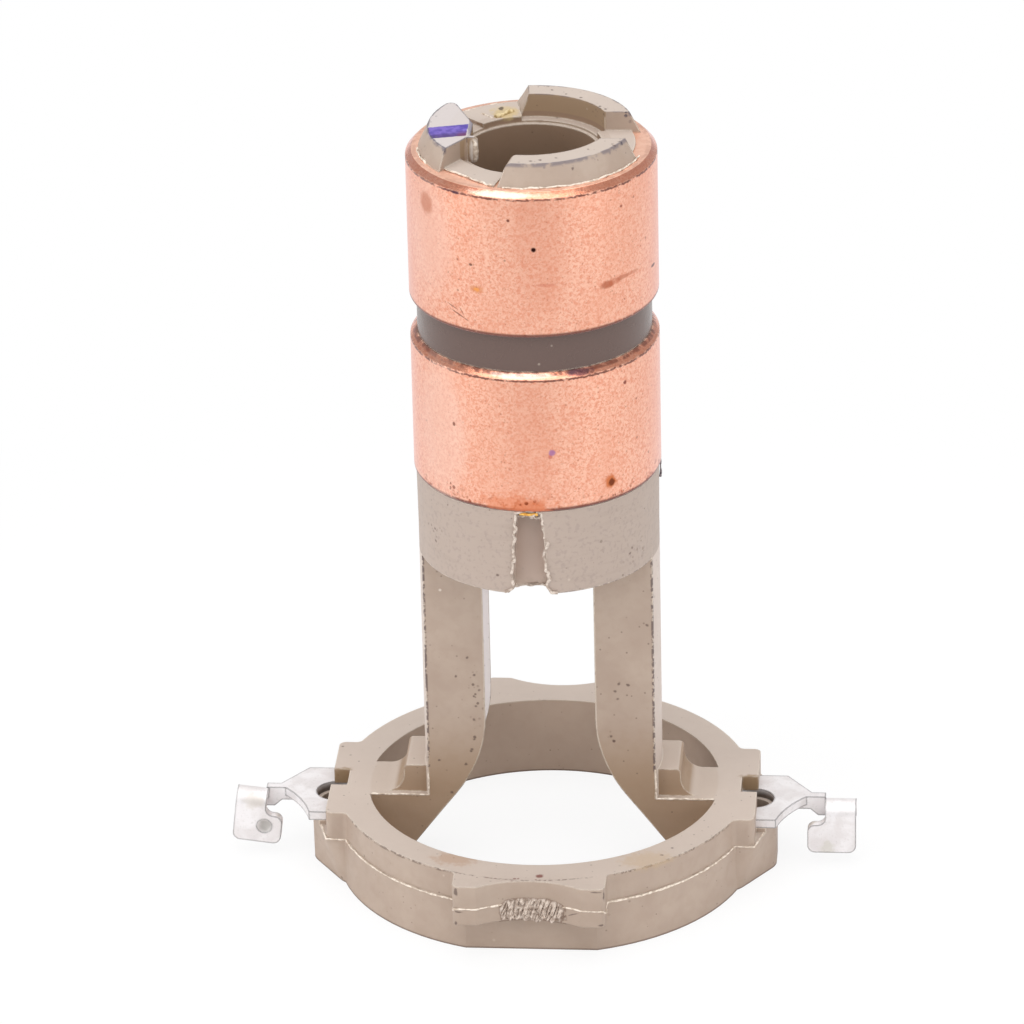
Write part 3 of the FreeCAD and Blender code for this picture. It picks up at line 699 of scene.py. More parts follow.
class GeometryGraph(Graph):
    """A Geometry Nodes tree under construction, with one geometry in and one out."""

    def __init__(self, name: str) -> None:
        """Starts the tree."""
        super().__init__(bpy.data.node_groups.new(name, "GeometryNodeTree"))
        for way in ("INPUT", "OUTPUT"):
            self.tree.interface.new_socket("Geometry", in_out=way, socket_type="NodeSocketGeometry")
        self.entry = self.tree.nodes.new("NodeGroupInput")

    def named(self, name: str, kind: str = "NodeSocketFloat") -> Socket:
        """Adds a named input."""
        self.tree.interface.new_socket(name, in_out="INPUT", socket_type=kind)
        return self.entry.outputs[name]

    def strayed(self, geometry: Socket, lumps: Socket, reach: Socket) -> Socket:
        """Moves each point by its noise vector, scaled to a reach."""
        centred = self.vector("SUBTRACT", {0: lumps, 1: (0.5, 0.5, 0.5)})
        offset = self.vector("SCALE", {0: centred, "Scale": reach})
        return self.add("GeometryNodeSetPosition", {"Geometry": geometry, "Offset": offset}).outputs[0]

    def end(self, geometry: Socket, finish: Socket) -> None:
        """Ends the tree in real geometry with the finish on it."""
        real = self.add("GeometryNodeRealizeInstances", {0: geometry}).outputs[0]
        done = self.add("GeometryNodeSetMaterial", {"Geometry": real, "Material": finish}).outputs[0]
        self.add("NodeGroupOutput", {0: done})

    def run(self, carrier: bpy.types.Object, values: dict[str, object]) -> bpy.types.Mesh:
        """Runs the tree on an object.

        Args:
            carrier: Object whose geometry goes in, removed afterwards.
            values: What each named input is set to.

        Returns:
            The mesh that comes out.
        """
        modifier = carrier.modifiers.new("made", "NODES")
        modifier.node_group = self.tree
        for item in self.tree.interface.items_tree:
            if item.in_out == "INPUT" and item.name in values:
                modifier[item.identifier] = values[item.name]
        mesh = made_plain(carrier)
        bpy.data.objects.remove(carrier)
        return mesh


def polyline(points: Path, closed: bool) -> bpy.types.Object:
    """Curve object of straight runs through points given in millimetres."""
    curve = bpy.data.curves.new("path", "CURVE")
    curve.dimensions = "3D"
    spline = curve.splines.new("POLY")
    spline.points.add(len(points) - 1)
    for place, (x, y, z) in zip(spline.points, points):
        place.co = (x * MM, y * MM, z * MM, 1.0)
    spline.use_cyclic_u = closed
    carrier = bpy.data.objects.new("path", curve)
    bpy.context.scene.collection.objects.link(carrier)
    return carrier


def turned_tree() -> GeometryGraph:
    """Tree that turns a closed profile about the axis of the rings, with a slight waver."""
    graph = GeometryGraph("turned_ring")
    bore = graph.named("Bore radius")
    steps = graph.named("Steps", "NodeSocketInt")
    waver = graph.named("Waver")
    finish = graph.named("Finish", "NodeSocketMaterial")
    circle = graph.add("GeometryNodeCurvePrimitiveCircle", {"Resolution": steps, "Radius": bore})
    inputs = {"Curve": circle.outputs[0], "Profile Curve": graph.entry.outputs[0]}
    swept = graph.add("GeometryNodeCurveToMesh", inputs).outputs[0]
    lumps = graph.add("ShaderNodeTexNoise", {"Scale": 900.0, "Detail": 2.0}).outputs[1]
    graph.end(graph.strayed(swept, lumps, waver), finish)
    return graph


def bead_tree() -> GeometryGraph:
    """Tree that lays a ragged bead of flash along a path."""
    graph = GeometryGraph("ragged_bead")
    step = graph.named("Step")
    size = graph.named("Radius")
    wander = graph.named("Wander")
    lump = graph.named("Lump scale")
    seed = graph.named("Seed")
    thinnest = graph.named("Thinnest")
    finish = graph.named("Finish", "NodeSocketMaterial")
    inputs = {"Curve": graph.entry.outputs[0], "Length": step}
    path = graph.add("GeometryNodeResampleCurve", inputs, mode="LENGTH").outputs[0]
    cloud = {"W": seed, "Scale": lump, "Detail": 2.0}
    lumps = graph.add("ShaderNodeTexNoise", cloud, noise_dimensions="4D").outputs
    moved = graph.strayed(path, lumps[1], wander)
    swelling = {"Value": lumps[0], "From Min": 0.3, "From Max": 0.7, "To Min": thinnest}
    swell = graph.add("ShaderNodeMapRange", swelling).outputs[0]
    radius = graph.math("MULTIPLY", swell, size)
    sized = graph.add("GeometryNodeSetCurveRadius", {"Curve": moved, "Radius": radius}).outputs[0]
    profile = graph.add("GeometryNodeCurvePrimitiveCircle", {"Resolution": 6, "Radius": 1.0}).outputs[0]
    scale = graph.add("GeometryNodeInputRadius").outputs[0]
    inputs = {"Curve": sized, "Profile Curve": profile, "Scale": scale, "Fill Caps": True}
    graph.end(graph.add("GeometryNodeCurveToMesh", inputs).outputs[0], finish)
    return graph


def rounded(profile: Outline, radius: float, steps: int = 3) -> Outline:
    """Rounds each corner of a closed outline with a short arc.

    Args:
        profile: Corners of the outline in order.
        radius: Distance from each corner at which its rounding starts.
        steps: Number of runs in each rounding.

    Returns:
        The points of the rounded outline.
    """
    points = []
    for index, corner in enumerate(profile):
        middle = Vector(corner)
        before = (Vector(profile[index - 1]) - middle).normalized() * radius + middle
        after = (Vector(profile[(index + 1) % len(profile)]) - middle).normalized() * radius + middle
        for step in range(steps + 1):
            share = step / steps
            first, second = before.lerp(middle, share), middle.lerp(after, share)
            points.append(tuple(first.lerp(second, share)))
    return points


@dataclass
class CopperRing:
    """One of the two copper rings, turned from a rounded profile that fits its node.

    Attributes:
        node: CAD node that it stands for.
        name: Name of the finished piece.
        dirt_and_shade: Cover of the dark line round its upper end, which is grime and painted shade, and of
            the blots at its lower end, from 0 to 1.
        marks: Stains on it, and painted highlights and reflections.
        wall: Wall thickness in millimetres.
        top_chamfer: Chamfer at its upper outer edge.
        bottom_chamfer: Chamfer at its lower outer edge.
        bore_chamfer: Chamfer at its upper inner edge.
        edge: Rounding of every edge.
        waver: How far its turned surface wavers.
        steps: Steps round the circle.
    """

    node: str
    name: str
    dirt_and_shade: float
    marks: tuple[Mark, ...]
    wall: float = 2.1
    top_chamfer: float = 0.38
    bottom_chamfer: float = 0.15
    bore_chamfer: float = 0.3
    edge: float = 0.05
    waver: float = 0.012
    steps: int = 240

    def build(self) -> None:
        """Makes the ring."""
        low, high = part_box(self.node)
        outer, bottom, top = high.x / MM, low.z / MM, high.z / MM
        finish = TurnedCopper(self.name + "_copper", bottom, top, self.dirt_and_shade, self.marks).build()
        values = {
            "Bore radius": (outer - self.wall) * MM, "Steps": self.steps, "Waver": self.waver * MM,
            "Finish": finish,
        }
        section = polyline([(x, -z, 0.0) for x, z in self.profile(bottom, top)], True)
        mesh = turned_tree().run(section, values)
        mesh.shade_smooth()
        settle(new_piece(self.name, mesh, finish), Slot.COPPER, self.node)

    def profile(self, bottom: float, top: float) -> Outline:
        """Section of the ring as (distance out from its bore, height) in millimetres."""
        corners = [
            (0.0, bottom),
            (self.wall - self.bottom_chamfer, bottom),
            (self.wall, bottom + self.bottom_chamfer),
            (self.wall, top - self.top_chamfer),
            (self.wall - self.top_chamfer, top),
            (self.bore_chamfer, top),
            (0.0, top - self.bore_chamfer),
        ]
        return rounded(corners, self.edge)[::-1]


def dress(node: str, finish: bpy.types.Material) -> None:
    """Gives a node whose shape is right its finish."""
    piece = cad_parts[node]
    piece.data.materials.clear()
    piece.data.materials.append(finish)
    for place in piece.material_slots:
        place.material = finish
    log.info("%s: dressed in %s", node, finish.name)


def scallop_face(x: float) -> float:
    """Place along y of the front pad's scalloped face at this x."""
    radius = (SCALLOP ** 2 + SCALLOP_DEPTH ** 2) / (2 * SCALLOP_DEPTH)
    return SCALLOP_DEPTH - PAD_FACE - radius + math.sqrt(radius ** 2 - x * x)


def arc_path(radius: float, start: float, end: float, height: float, steps: int = 24) -> Path:
    """Points on an arc about the axis of the rings, angles in degrees from +x."""
    angles = [math.radians(start + (end - start) * step / steps) for step in range(steps + 1)]
    return [(radius * math.cos(a), radius * math.sin(a), height) for a in angles]


@dataclass
class GateScar:
    """Rough break on the front pad's scallop where the moulding's gate was snapped off.

    Attributes:
        left: Left end in millimetres.
        right: Right end.
        bottom: Lower edge.
        top: Upper edge.
        height: How far the break stands out.
        columns: Steps across.
        rows: Steps up.
        root: Depth of its hidden back inside the pad.
        shade: How far out of the face its hollows are shaded.
    """

    left: float = -1.95
    right: float = 2.35
    bottom: float = 2.45
    top: float = 4.12
    height: float = 0.3
    columns: int = 110
    rows: int = 32
    root: float = 0.25
    shade: float = 0.135

    def build(self, finish: bpy.types.Material) -> None:
        """Makes the scar as a closed lump whose back lies in the pad."""
        shape = bmesh.new()
        fronts, backs, hollows = [], [], []
        for row in range(self.rows + 1):
            fronts.append([])
            backs.append([])
            for column in range(self.columns + 1):
                across, up = column / self.columns, row / self.rows
                x = self.left + (self.right - self.left) * across
                z = self.bottom + (self.top - self.bottom) * up
                face = scallop_face(x)
                stand = self.stand(x, z, across, up)
                fronts[-1].append(shape.verts.new(Vector((x, face - stand, z)) * MM))
                backs[-1].append(shape.verts.new(Vector((x, face + self.root, z)) * MM))
                # Painted shade: the lower the break stands, the darker
                hollows += 2 * [max(0.0, 1.0 - max(stand, 0.0) / self.shade)]
        for rows, flip in ((fronts, False), (backs, True)):
            for lower, upper in zip(rows, rows[1:]):
                for a, b, c, d in zip(lower, lower[1:], upper[1:], upper):
                    shape.faces.new((d, c, b, a) if flip else (a, b, c, d))
        front_rim, back_rim = self.rim(fronts), self.rim(backs)
        for index in range(len(front_rim)):
            following = (index + 1) % len(front_rim)
            shape.faces.new((front_rim[index], back_rim[index], back_rim[following], front_rim[following]))
        bmesh.ops.recalc_face_normals(shape, faces=shape.faces)
        mesh = bpy.data.meshes.new("gate_scar")
        shape.to_mesh(mesh)
        shape.free()
        mesh.attributes.new("hollow", "FLOAT", "POINT").data.foreach_set("value", hollows)
        settle(new_piece("gate_scar", mesh, finish), Slot.INSULATOR)

    def rim(self, rows: list[list[bmesh.types.BMVert]]) -> list[bmesh.types.BMVert]:
        """Vertices round a grid's edge, in order."""
        right = [row[-1] for row in rows]
        left = [row[0] for row in rows]
        return rows[0][:-1] + right[:-1] + rows[-1][:0:-1] + left[:0:-1]

    def stand(self, x: float, z: float, across: float, up: float) -> float:
        """How far the break stands out of the face at one point.

        Args:
            x: Place of the point along x in millimetres.
            z: Its height.
            across: Its share of the way from the left end to the right one.
            up: Its share of the way from the lower edge to the upper one.

        Returns:
            The distance in millimetres, below 0 at the border, where the break sinks into the pad.
        """
        bulge = (abs(2 * across - 1) ** 3 + abs(2 * up - 1) ** 3) ** (1 / 3)
        border = 1.02 - bulge + 0.2 * noise.noise(Vector((x * 2.6, 7.0, z * 2.6))) * (1.4 - up)
        cover = max(-0.35, min(1.0, border * 5))
        lean = x - 0.35 * z
        broad = abs(noise.noise(Vector((lean * 4.2, 1.7, z * 0.9))))
        fine = abs(noise.noise(Vector((lean * 9, 3.1, z * 3))))
        ridges = 0.1 + 1.7 * (broad + 0.5 * fine)
        return self.height * cover * (ridges if cover > 0 else 1)


class Rough(Enum):
    """Finishes of what is rougher than the skin of the moulding."""

    BROKEN = RoughLump("broken_moulding", rgb(198, 180, 162), rgb(244, 232, 218))
    TORN = RoughLump("torn_moulding", rgb(168, 150, 137), rgb(216, 202, 190))
    AMBER = RoughLump("amber_resin", rgb(206, 140, 50), rgb(240, 190, 96))
    SOOT = RoughLump("dark_burr", rgb(84, 74, 80), rgb(150, 138, 140))
    DRY_RESIN = RoughLump("dry_resin", rgb(184, 158, 108), rgb(228, 208, 164))
    FILM = RoughLump("slot_film", rgb(156, 138, 126), rgb(204, 188, 176))


@dataclass
class Fringe:
    """Ragged thin edge, film or smear along paths, such as the torn edges of a slot.

    Attributes:
        name: Name of the finished piece.
        rough: What it is made of.
        paths: Paths in millimetres.
        radius: Radius of the bead.
        wander: How far it strays.
        seed: Start of its noise.
        lumps: Scale of its raggedness.
        step: Length of its steps.
        closed: Whether each path ends where it starts.
    """

    name: str
    rough: Rough
    paths: list[Path]
    radius: float
    wander: float
    seed: float = 1.0
    lumps: float = 1500.0
    step: float = 0.07
    closed: bool = False

    def build(self, finish: bpy.types.Material) -> None:
        """Makes the fringe from all its paths."""
        joined = bmesh.new()
        for number, path in enumerate(self.paths):
            values = {
                "Step": self.step * MM, "Radius": self.radius * MM, "Wander": self.wander * MM,
                "Lump scale": self.lumps, "Seed": self.seed + number, "Thinnest": 0.4, "Finish": finish,
            }
            joined.from_mesh(bead_tree().run(polyline(path, self.closed), values))
        mesh = bpy.data.meshes.new(self.name)
        joined.to_mesh(mesh)
        joined.free()
        settle(new_piece(self.name, mesh, finish), Slot.INSULATOR)


@dataclass
class BaseSeam:
    """Flash along the line where the two mould halves met round the base ring.

    Attributes:
        pad_height: Height of the line across the front and back pads in millimetres.
        pad: Half width of a pad.
        lobe: Half width of a side lobe.
        shoulder: Distance of a lobe's shoulders from the axis.
        nose: Distance of a lobe's nose from the axis.
        tip: Half width of a nose's flat tip.
    """

    pad_height: float = 3.72
    pad: float = 4.85
    lobe: float = 4.9
    shoulder: float = 13.85
    nose: float = 15.02
    tip: float = 0.7

    def build(self, finish: bpy.types.Material) -> None:
        """Makes the flash as one closed fringe."""
        front = self.front_half()
        path = front + [(x, -y, z) for x, y, z in reversed(front)]
        flash = Fringe(
            "base_parting_flash", Rough.BROKEN, [path], radius=0.085, wander=0.16, seed=3.0, lumps=1600.0,
            step=0.11, closed=True,
        )
        flash.build(finish)

    def front_half(self) -> Path:
        """Path from the left nose round the front to the right nose."""
        left = [
            (-self.nose, 0.0, PARTING),
            (-self.nose, -self.tip, PARTING),
            (-self.nose + 0.35, -self.tip - 1.0, PARTING),
            (-self.shoulder, -self.lobe, PARTING),
        ]
        start = math.degrees(math.atan2(-self.lobe, -math.sqrt(BASE_R ** 2 - self.lobe ** 2)))
        end = math.degrees(math.atan2(-math.sqrt(BASE_R ** 2 - self.pad ** 2), -self.pad))
        left += arc_path(BASE_R, start, end, PARTING, 12)
        left += [(-self.pad, 0.5 - PAD_FACE, PARTING), (0.1 - self.pad, -PAD_FACE, self.pad_height)]
        places = [SCALLOP * (step / 8 - 1) for step in range(9)]
        left += [(x, scallop_face(x), self.pad_height) for x in places]
        return left + [(-x, y, z) for x, y, z in reversed(left) if x < 0]


def chord_path(distance: float, start: float, end: float, height: float, steps: int = 12) -> Path:
    """Points on a line across the front lip this far from the axis, between two angles in degrees."""
    middle = math.radians(sum(FRONT_LIP) / 2)
    angles = [math.radians(start + (end - start) * step / steps) for step in range(steps + 1)]
    reaches = [distance / math.cos(a - middle) for a in angles]
    return [(reach * math.cos(a), reach * math.sin(a), height) for reach, a in zip(reaches, angles)]


def slot_edges(bottom: float, top: float) -> list[Path]:
    """Both edges of the front slot and of the back slot in the collar, and the front slot's floor edge."""
    corners = [
        (1.66, bottom + 0.02), (1.35, bottom + 0.14), (1.18, bottom + 0.5), (0.86, top - 0.5),
        (0.74, top - 0.18), (0.45, top - 0.05),
    ]
    radius = COLLAR_R - 0.02
    paths = [
        [(side * x, face * math.sqrt(radius ** 2 - x * x), z) for x, z in corners]
        for side in (-1, 1) for face in (-1, 1)
    ]
    return paths + [[(x, -SLOT_FLOOR, bottom + 0.02) for x in (-1.4, -0.7, 0.0, 0.7, 1.4)]]


def fringes(collar: tuple[float, float]) -> list[Fringe]:
    """Every fringe of the part, in order.

    Args:
        collar: Lower and upper height of the collar in millimetres.

    Returns:
        The fringes, not yet built.
    """
    film_heights = (27.98, 28.16, 28.33)
    film = [[(x, 0.14 - COLLAR_R, height) for x in (-0.95, -0.3, 0.3, 0.95)] for height in film_heights]
    bead = [(-0.55, 0.04 - COLLAR_R, 28.24), (0.0, -COLLAR_R, 28.2), (0.55, 0.04 - COLLAR_R, 28.26)]
    smear = [(-2.55, 4.0, LIP_TOP), (-2.1, 4.45, LIP_TOP), (-1.55, 5.15, LIP_TOP)]
    lips = [
        chord_path(6.45, -150.0, -105.5, LIP_TOP - 0.03), arc_path(6.85, 103.0, 136.0, LIP_TOP - 0.05),
        [(-3.5, 4.7, LIP_TOP), (-3.0, 4.25, LIP_TOP), (-2.7, 3.9, LIP_TOP)],
        *(arc_path(7.08, *ends, LIP_TOP - 0.07) for ends in ((-100.0, -14.0), (187.0, 208.0))),
    ]
    fin = [(-3.3, -2.16, 49.8), (-3.26, -2.16, 50.5), (-3.28, -2.16, 50.95), (-3.42, -2.16, 51.2)]
    burr = [(7.74, 0.7, 28.55), (7.8, 0.55, 28.1), (7.8, 0.5, 27.6), (7.74, 0.45, 27.1)]
    rim = BASE_TOP + 0.02
    left_foot = [(-11.1, rim), (-9.2, rim), (-7.35, rim), (-7.34, 6.2), (-7.34, 6.9)]
    right_foot = [(11.1, rim), (9.2, rim), (7.4, rim), (7.38, 6.4), (7.34, 7.4)]
    lands = [[(x, -LEG_FACE, z) for x, z in foot] for foot in (left_foot, right_foot)]
    return [
        Fringe("slot_fringe", Rough.TORN, slot_edges(*collar), 0.14, 0.9),
        Fringe("slot_web", Rough.FILM, film, 0.14, 0.9, 21.0),
        Fringe("slot_resin", Rough.AMBER, [bead], 0.15, 0.2),
        Fringe("ledge_resin", Rough.DRY_RESIN, [smear], 0.2, 0.3, 31.0, 2200.0),
        Fringe("ledge_fringe", Rough.BROKEN, lips, 0.09, 0.3, 9.0),
        Fringe("key_fringe", Rough.BROKEN, [fin], 0.24, 0.12, 41.0),
        Fringe("collar_burr", Rough.SOOT, [burr], 0.1, 0.15, 51.0),
        Fringe("land_fringe", Rough.BROKEN, lands, 0.085, 0.2, 15.0),
    ]


@dataclass(frozen=True)
class Lamp:
    """One large soft lamp that faces the object.

    Attributes:
        name: Name of the lamp.
        place: Its place in metres.
        size: Width and height of its face in metres.
        power: Its power in watts.
        aim: Height on the axis in metres that it faces.
    """

    name: str
    place: Point
    size: tuple[float, float]
    power: float
    aim: float = 0.03

    def build(self) -> None:
        """Hangs the lamp."""
        data = bpy.data.lights.new(self.name, "AREA")
        data.shape = "RECTANGLE"
        data.size, data.size_y = self.size
        data.energy = self.power
        lamp = bpy.data.objects.new(self.name, data)
        away = Vector(self.place) - Vector((0, 0, self.aim))
        turn = away.to_track_quat("Z", "Y").to_matrix().to_4x4()
        lamp.matrix_world = Matrix.Translation(self.place) @ turn
        bpy.context.scene.collection.objects.link(lamp)


LAMPS = (
    Lamp("front_lamp", (-0.03, -0.3, 0.56), (0.9, 0.34), 1.7),
    Lamp("top_lamp", (0.0, 0.12, 0.64), (0.6, 0.5), 1.5),
    Lamp("left_lamp", (-0.52, -0.27, 0.17), (0.42, 0.3), 1.1),
    Lamp("right_lamp", (0.5, -0.3, 0.17), (0.42, 0.3), 0.8),
)


@dataclass
class Studio:
    """Pale floor, soft lamps, a bright world and the camera of the photograph.

    Attributes:
        floor_half: Half width of the floor in metres.
        focus: Focal length in pixels of the picture.
        azimuth: Camera's turn from -y towards +x in degrees.
        elevation: Camera's height above level in degrees.
        roll: Camera's roll in degrees.
        distance: Distance from the aim in millimetres.
        aim: Height of the aim on the axis in millimetres.
        shift: Aim's shift right and up in the picture's plane.
        world_light: Strength of the world's light.
    """

    floor_half: float = 1.5
    focus: float = 6792.6
    azimuth: float = 5.0
    elevation: float = 25.732
    roll: float = -1.339
    distance: float = 431.64
    aim: float = 28.0
    shift: tuple[float, float] = (-1.645, -2.987)
    world_light: float = 0.52

    def build(self) -> None:
        """Makes the whole studio."""
        self.make_camera()
        self.make_floor()
        self.make_world()
        for lamp in LAMPS:
            lamp.build()
        bpy.context.scene.view_settings.view_transform = "Standard"

    def make_camera(self) -> None:
        """Places the camera as the photograph's was."""
        turn, lift, roll = (math.radians(v) for v in (self.azimuth, self.elevation, self.roll))
        away = Vector((math.sin(turn) * math.cos(lift), -math.cos(turn) * math.cos(lift), math.sin(lift)))
        right = (-away).cross(Vector((0, 0, 1))).normalized()
        above = away.cross(right)
        tilted_right = right * math.cos(roll) + above * math.sin(roll)
        tilted_up = above * math.cos(roll) - right * math.sin(roll)
        aim = Vector((0, 0, self.aim)) + tilted_right * self.shift[0] + tilted_up * self.shift[1]
        data = bpy.data.cameras.new("camera")
        data.sensor_width = 36.0
        data.lens = data.sensor_width * self.focus / PICTURE_WIDTH
        data.clip_start = 0.01
        camera = bpy.data.objects.new("camera", data)
        place = Matrix((tilted_right, tilted_up, away)).transposed().to_4x4()
        place.translation = (aim + away * self.distance) * MM
        camera.matrix_world = place
        bpy.context.scene.collection.objects.link(camera)
        bpy.context.scene.camera = camera

    def make_floor(self) -> None:
        """Makes a pale floor that fades into the white background away from the object."""
        half = self.floor_half
        mesh = bpy.data.meshes.new("floor")
        corners = [(-half, -half, 0), (half, -half, 0), (half, half, 0), (-half, half, 0)]
        mesh.from_pydata(corners, [], [(0, 1, 2, 3)])
        graph = ShaderGraph("pale_floor")
        rays = graph.add("ShaderNodeLightPath").outputs
        fade = graph.rise(graph.radius, 20.0, 75.0)
        mirrored = graph.all_of(graph.any_of(rays["Is Glossy Ray"], rays["Is Transmission Ray"]), fade)
        viewed = graph.all_of(rays["Is Camera Ray"], graph.math("MULTIPLY_ADD", fade, 0.15, 0.85))
        grain = graph.mix(graph.grain(4.0), (0.95, 0.95, 0.95), (0.97, 0.97, 0.97))
        matt = graph.add("ShaderNodeBsdfDiffuse", {"Color": grain}).outputs[0]
        white = graph.add("ShaderNodeEmission", {"Color": (1.0, 1.0, 1.0), "Strength": 1.0}).outputs[0]
        shares = {0: graph.any_of(mirrored, viewed), 1: matt, 2: white}
        mixed = graph.add("ShaderNodeMixShader", shares).outputs[0]
        graph.add("ShaderNodeOutputMaterial", {"Surface": mixed})
        floor = new_piece("floor", mesh, graph.material)

    def make_world(self) -> None:
        """Lights the object from a pale world that the camera sees as plain white."""
        world = bpy.data.worlds.new("studio_world")
        world.use_nodes = True
        bpy.context.scene.world = world
        graph = Graph(world.node_tree)
        rays = graph.add("ShaderNodeLightPath").outputs
        soft, white = (
            graph.add("ShaderNodeBackground", {"Color": (1.0, 1.0, 1.0), "Strength": strength}).outputs[0]
            for strength in (self.world_light, 1.0)
        )
        seen = graph.any_of(rays["Is Camera Ray"], rays["Is Transmission Ray"])
        mixed = graph.add("ShaderNodeMixShader", {0: seen, 1: soft, 2: white}).outputs[0]
        graph.add("ShaderNodeOutputWorld", {"Surface": mixed})


GRIME = rgb(92, 74, 66)

# Stains, scorches and rubbed places of each piece, with some painted shade, light and reflections among
# them, the later ones over the earlier
UPPER_MARKS = (
    # Painted reflections: paler on the left and darker, redder in the middle; then a painted highlight on
    # the chamfer
    Mark((-6.0, -5.0, 46.0), (2.0, 2.6, 4.0), rgb(252, 212, 196), 0.35, 0.3),
    Mark((1.0, -7.8, 46.0), (1.8, 1.0, 4.5), rgb(226, 150, 122), 0.3, 0.4),
    Mark((-1.4, -7.6, 49.85), (2.6, 1.2, 0.16), rgb(255, 232, 218), 0.5, 0.5),
    Mark((-6.17, -4.85, 48.09), (0.62, 0.8, 0.75), rgb(192, 110, 74), 0.6, 0.35),
    Mark((0.66, -7.82, 46.31), (0.17, 0.3, 0.17), rgb(48, 20, 16), 1.0, 0.15),
    Mark((-0.87, -7.80, 48.22), (0.11, 0.3, 0.11), rgb(110, 52, 40), 0.9, 0.3),
    Mark((-3.3, -7.12, 44.98), (0.13, 0.3, 0.1), rgb(96, 62, 48), 0.8, 0.4),
    Mark((-4.19, -6.64, 49.58), (0.3, 0.3, 0.1), rgb(74, 34, 52), 0.9, 0.5),
    Mark((-4.67, -6.18, 49.6), (0.35, 0.3, 0.07), rgb(86, 36, 44), 0.8, 0.6),
    Mark((-2.99, -7.26, 43.40), (0.5, 0.4, 0.26), rgb(218, 136, 80), 0.6, 0.7),
    Mark((-2.95, -7.27, 43.38), (0.2, 0.3, 0.14), rgb(246, 166, 92), 0.8, 0.5),
    Mark((1.3, -7.74, 43.92), (1.0, 0.5, 0.1), rgb(214, 128, 104), 0.5, 0.9),
    Mark((5.05, -6.02, 43.24), (0.48, 0.6, 0.27), rgb(176, 92, 60), 0.75, 0.45),
    Mark((5.45, -5.65, 43.34), (0.5, 0.6, 0.24), rgb(196, 110, 78), 0.55, 0.5),
    Mark((5.9, -5.15, 43.4), (0.5, 0.7, 0.16), rgb(186, 104, 74), 0.6, 0.5),
    Mark((6.45, -4.45, 43.42), (0.5, 0.8, 0.13), rgb(200, 120, 90), 0.5, 0.5),
    Swarm((5.3, -5.8, 42.7), (0.6, 0.7, 0.3), rgb(206, 126, 94), 0.45, 0.8),
    Mark((7.62, -1.90, 42.80), (0.3, 0.4, 0.1), rgb(90, 44, 34), 0.9, 0.4, -20.0),
    Mark((5.9, -5.18, 48.17), (0.1, 0.2, 0.1), rgb(150, 80, 60), 0.8, 0.3),
    Mark((-4.15, -6.66, 41.42), (0.75, 0.6, 0.05), rgb(134, 76, 64), 0.75, 0.7, -24.0),
    Mark((-4.55, -6.4, 41.85), (0.4, 0.5, 0.045), rgb(150, 92, 80), 0.7, 0.6, -24.0),
    Mark((-3.95, -6.78, 41.68), (0.3, 0.4, 0.04), rgb(150, 92, 80), 0.6, 0.6, -60.0),
)
LOWER_MARKS = (
    # Painted highlight on the chamfer, then painted reflections: paler on the left, darker and redder in
    # the middle
    Mark((-0.3, -7.6, 37.68), (2.0, 1.2, 0.16), rgb(255, 232, 218), 0.5, 0.5),
    Mark((-5.6, -5.5, 33.0), (2.2, 2.6, 5.0), rgb(252, 214, 198), 0.4, 0.3),
    Mark((0.3, -7.8, 33.0), (1.7, 1.0, 5.0), rgb(228, 152, 124), 0.3, 0.4),
    Mark((5.07, -6.0, 29.81), (0.48, 0.45, 0.52), rgb(204, 108, 50), 0.85, 0.4, 20.0),
    Mark((5.12, -5.95, 29.72), (0.22, 0.26, 0.28), rgb(104, 42, 20), 0.85, 0.6),
    Mark((1.54, -7.70, 32.50), (0.22, 0.3, 0.2), rgb(150, 100, 170), 0.7, 0.7),
    Mark((1.41, -7.72, 32.2), (0.14, 0.3, 0.14), rgb(196, 90, 80), 0.6, 0.5),
    Mark((3.35, -6.88, 37.68), (1.0, 0.8, 0.2), rgb(70, 40, 62), 0.8, 0.7),
    Mark((5.98, -5.09, 36.22), (0.12, 0.2, 0.14), rgb(120, 52, 44), 0.85, 0.4),
    Mark((-4.67, -6.31, 33.75), (0.1, 0.2, 0.14), rgb(120, 66, 50), 0.8, 0.4),
    Swarm((0.2, -7.85, 28.75), (1.1, 0.6, 0.6), rgb(130, 60, 46), 0.85, 0.5),
    Mark((0.1, -7.85, 28.7), (1.3, 0.6, 0.5), rgb(206, 116, 80), 0.5, 0.4),
    Swarm((-1.9, -7.6, 28.65), (1.3, 0.8, 0.4), rgb(206, 100, 60), 0.6, 0.6),
    Mark((-0.9, -7.75, 28.9), (2.4, 1.0, 0.75), rgb(226, 124, 74), 0.45, 1.1),
    Swarm((0.1, -7.8, 28.8), (0.7, 0.6, 0.4), rgb(128, 58, 36), 0.75, 1.0),
    Swarm((-4.9, -6.12, 29.3), (0.5, 0.5, 0.7), rgb(140, 70, 50), 0.7, 1.0),
    Swarm((5.3, -5.6, 28.7), (1.3, 1.3, 0.4), rgb(140, 70, 50), 0.7, 1.0),
)
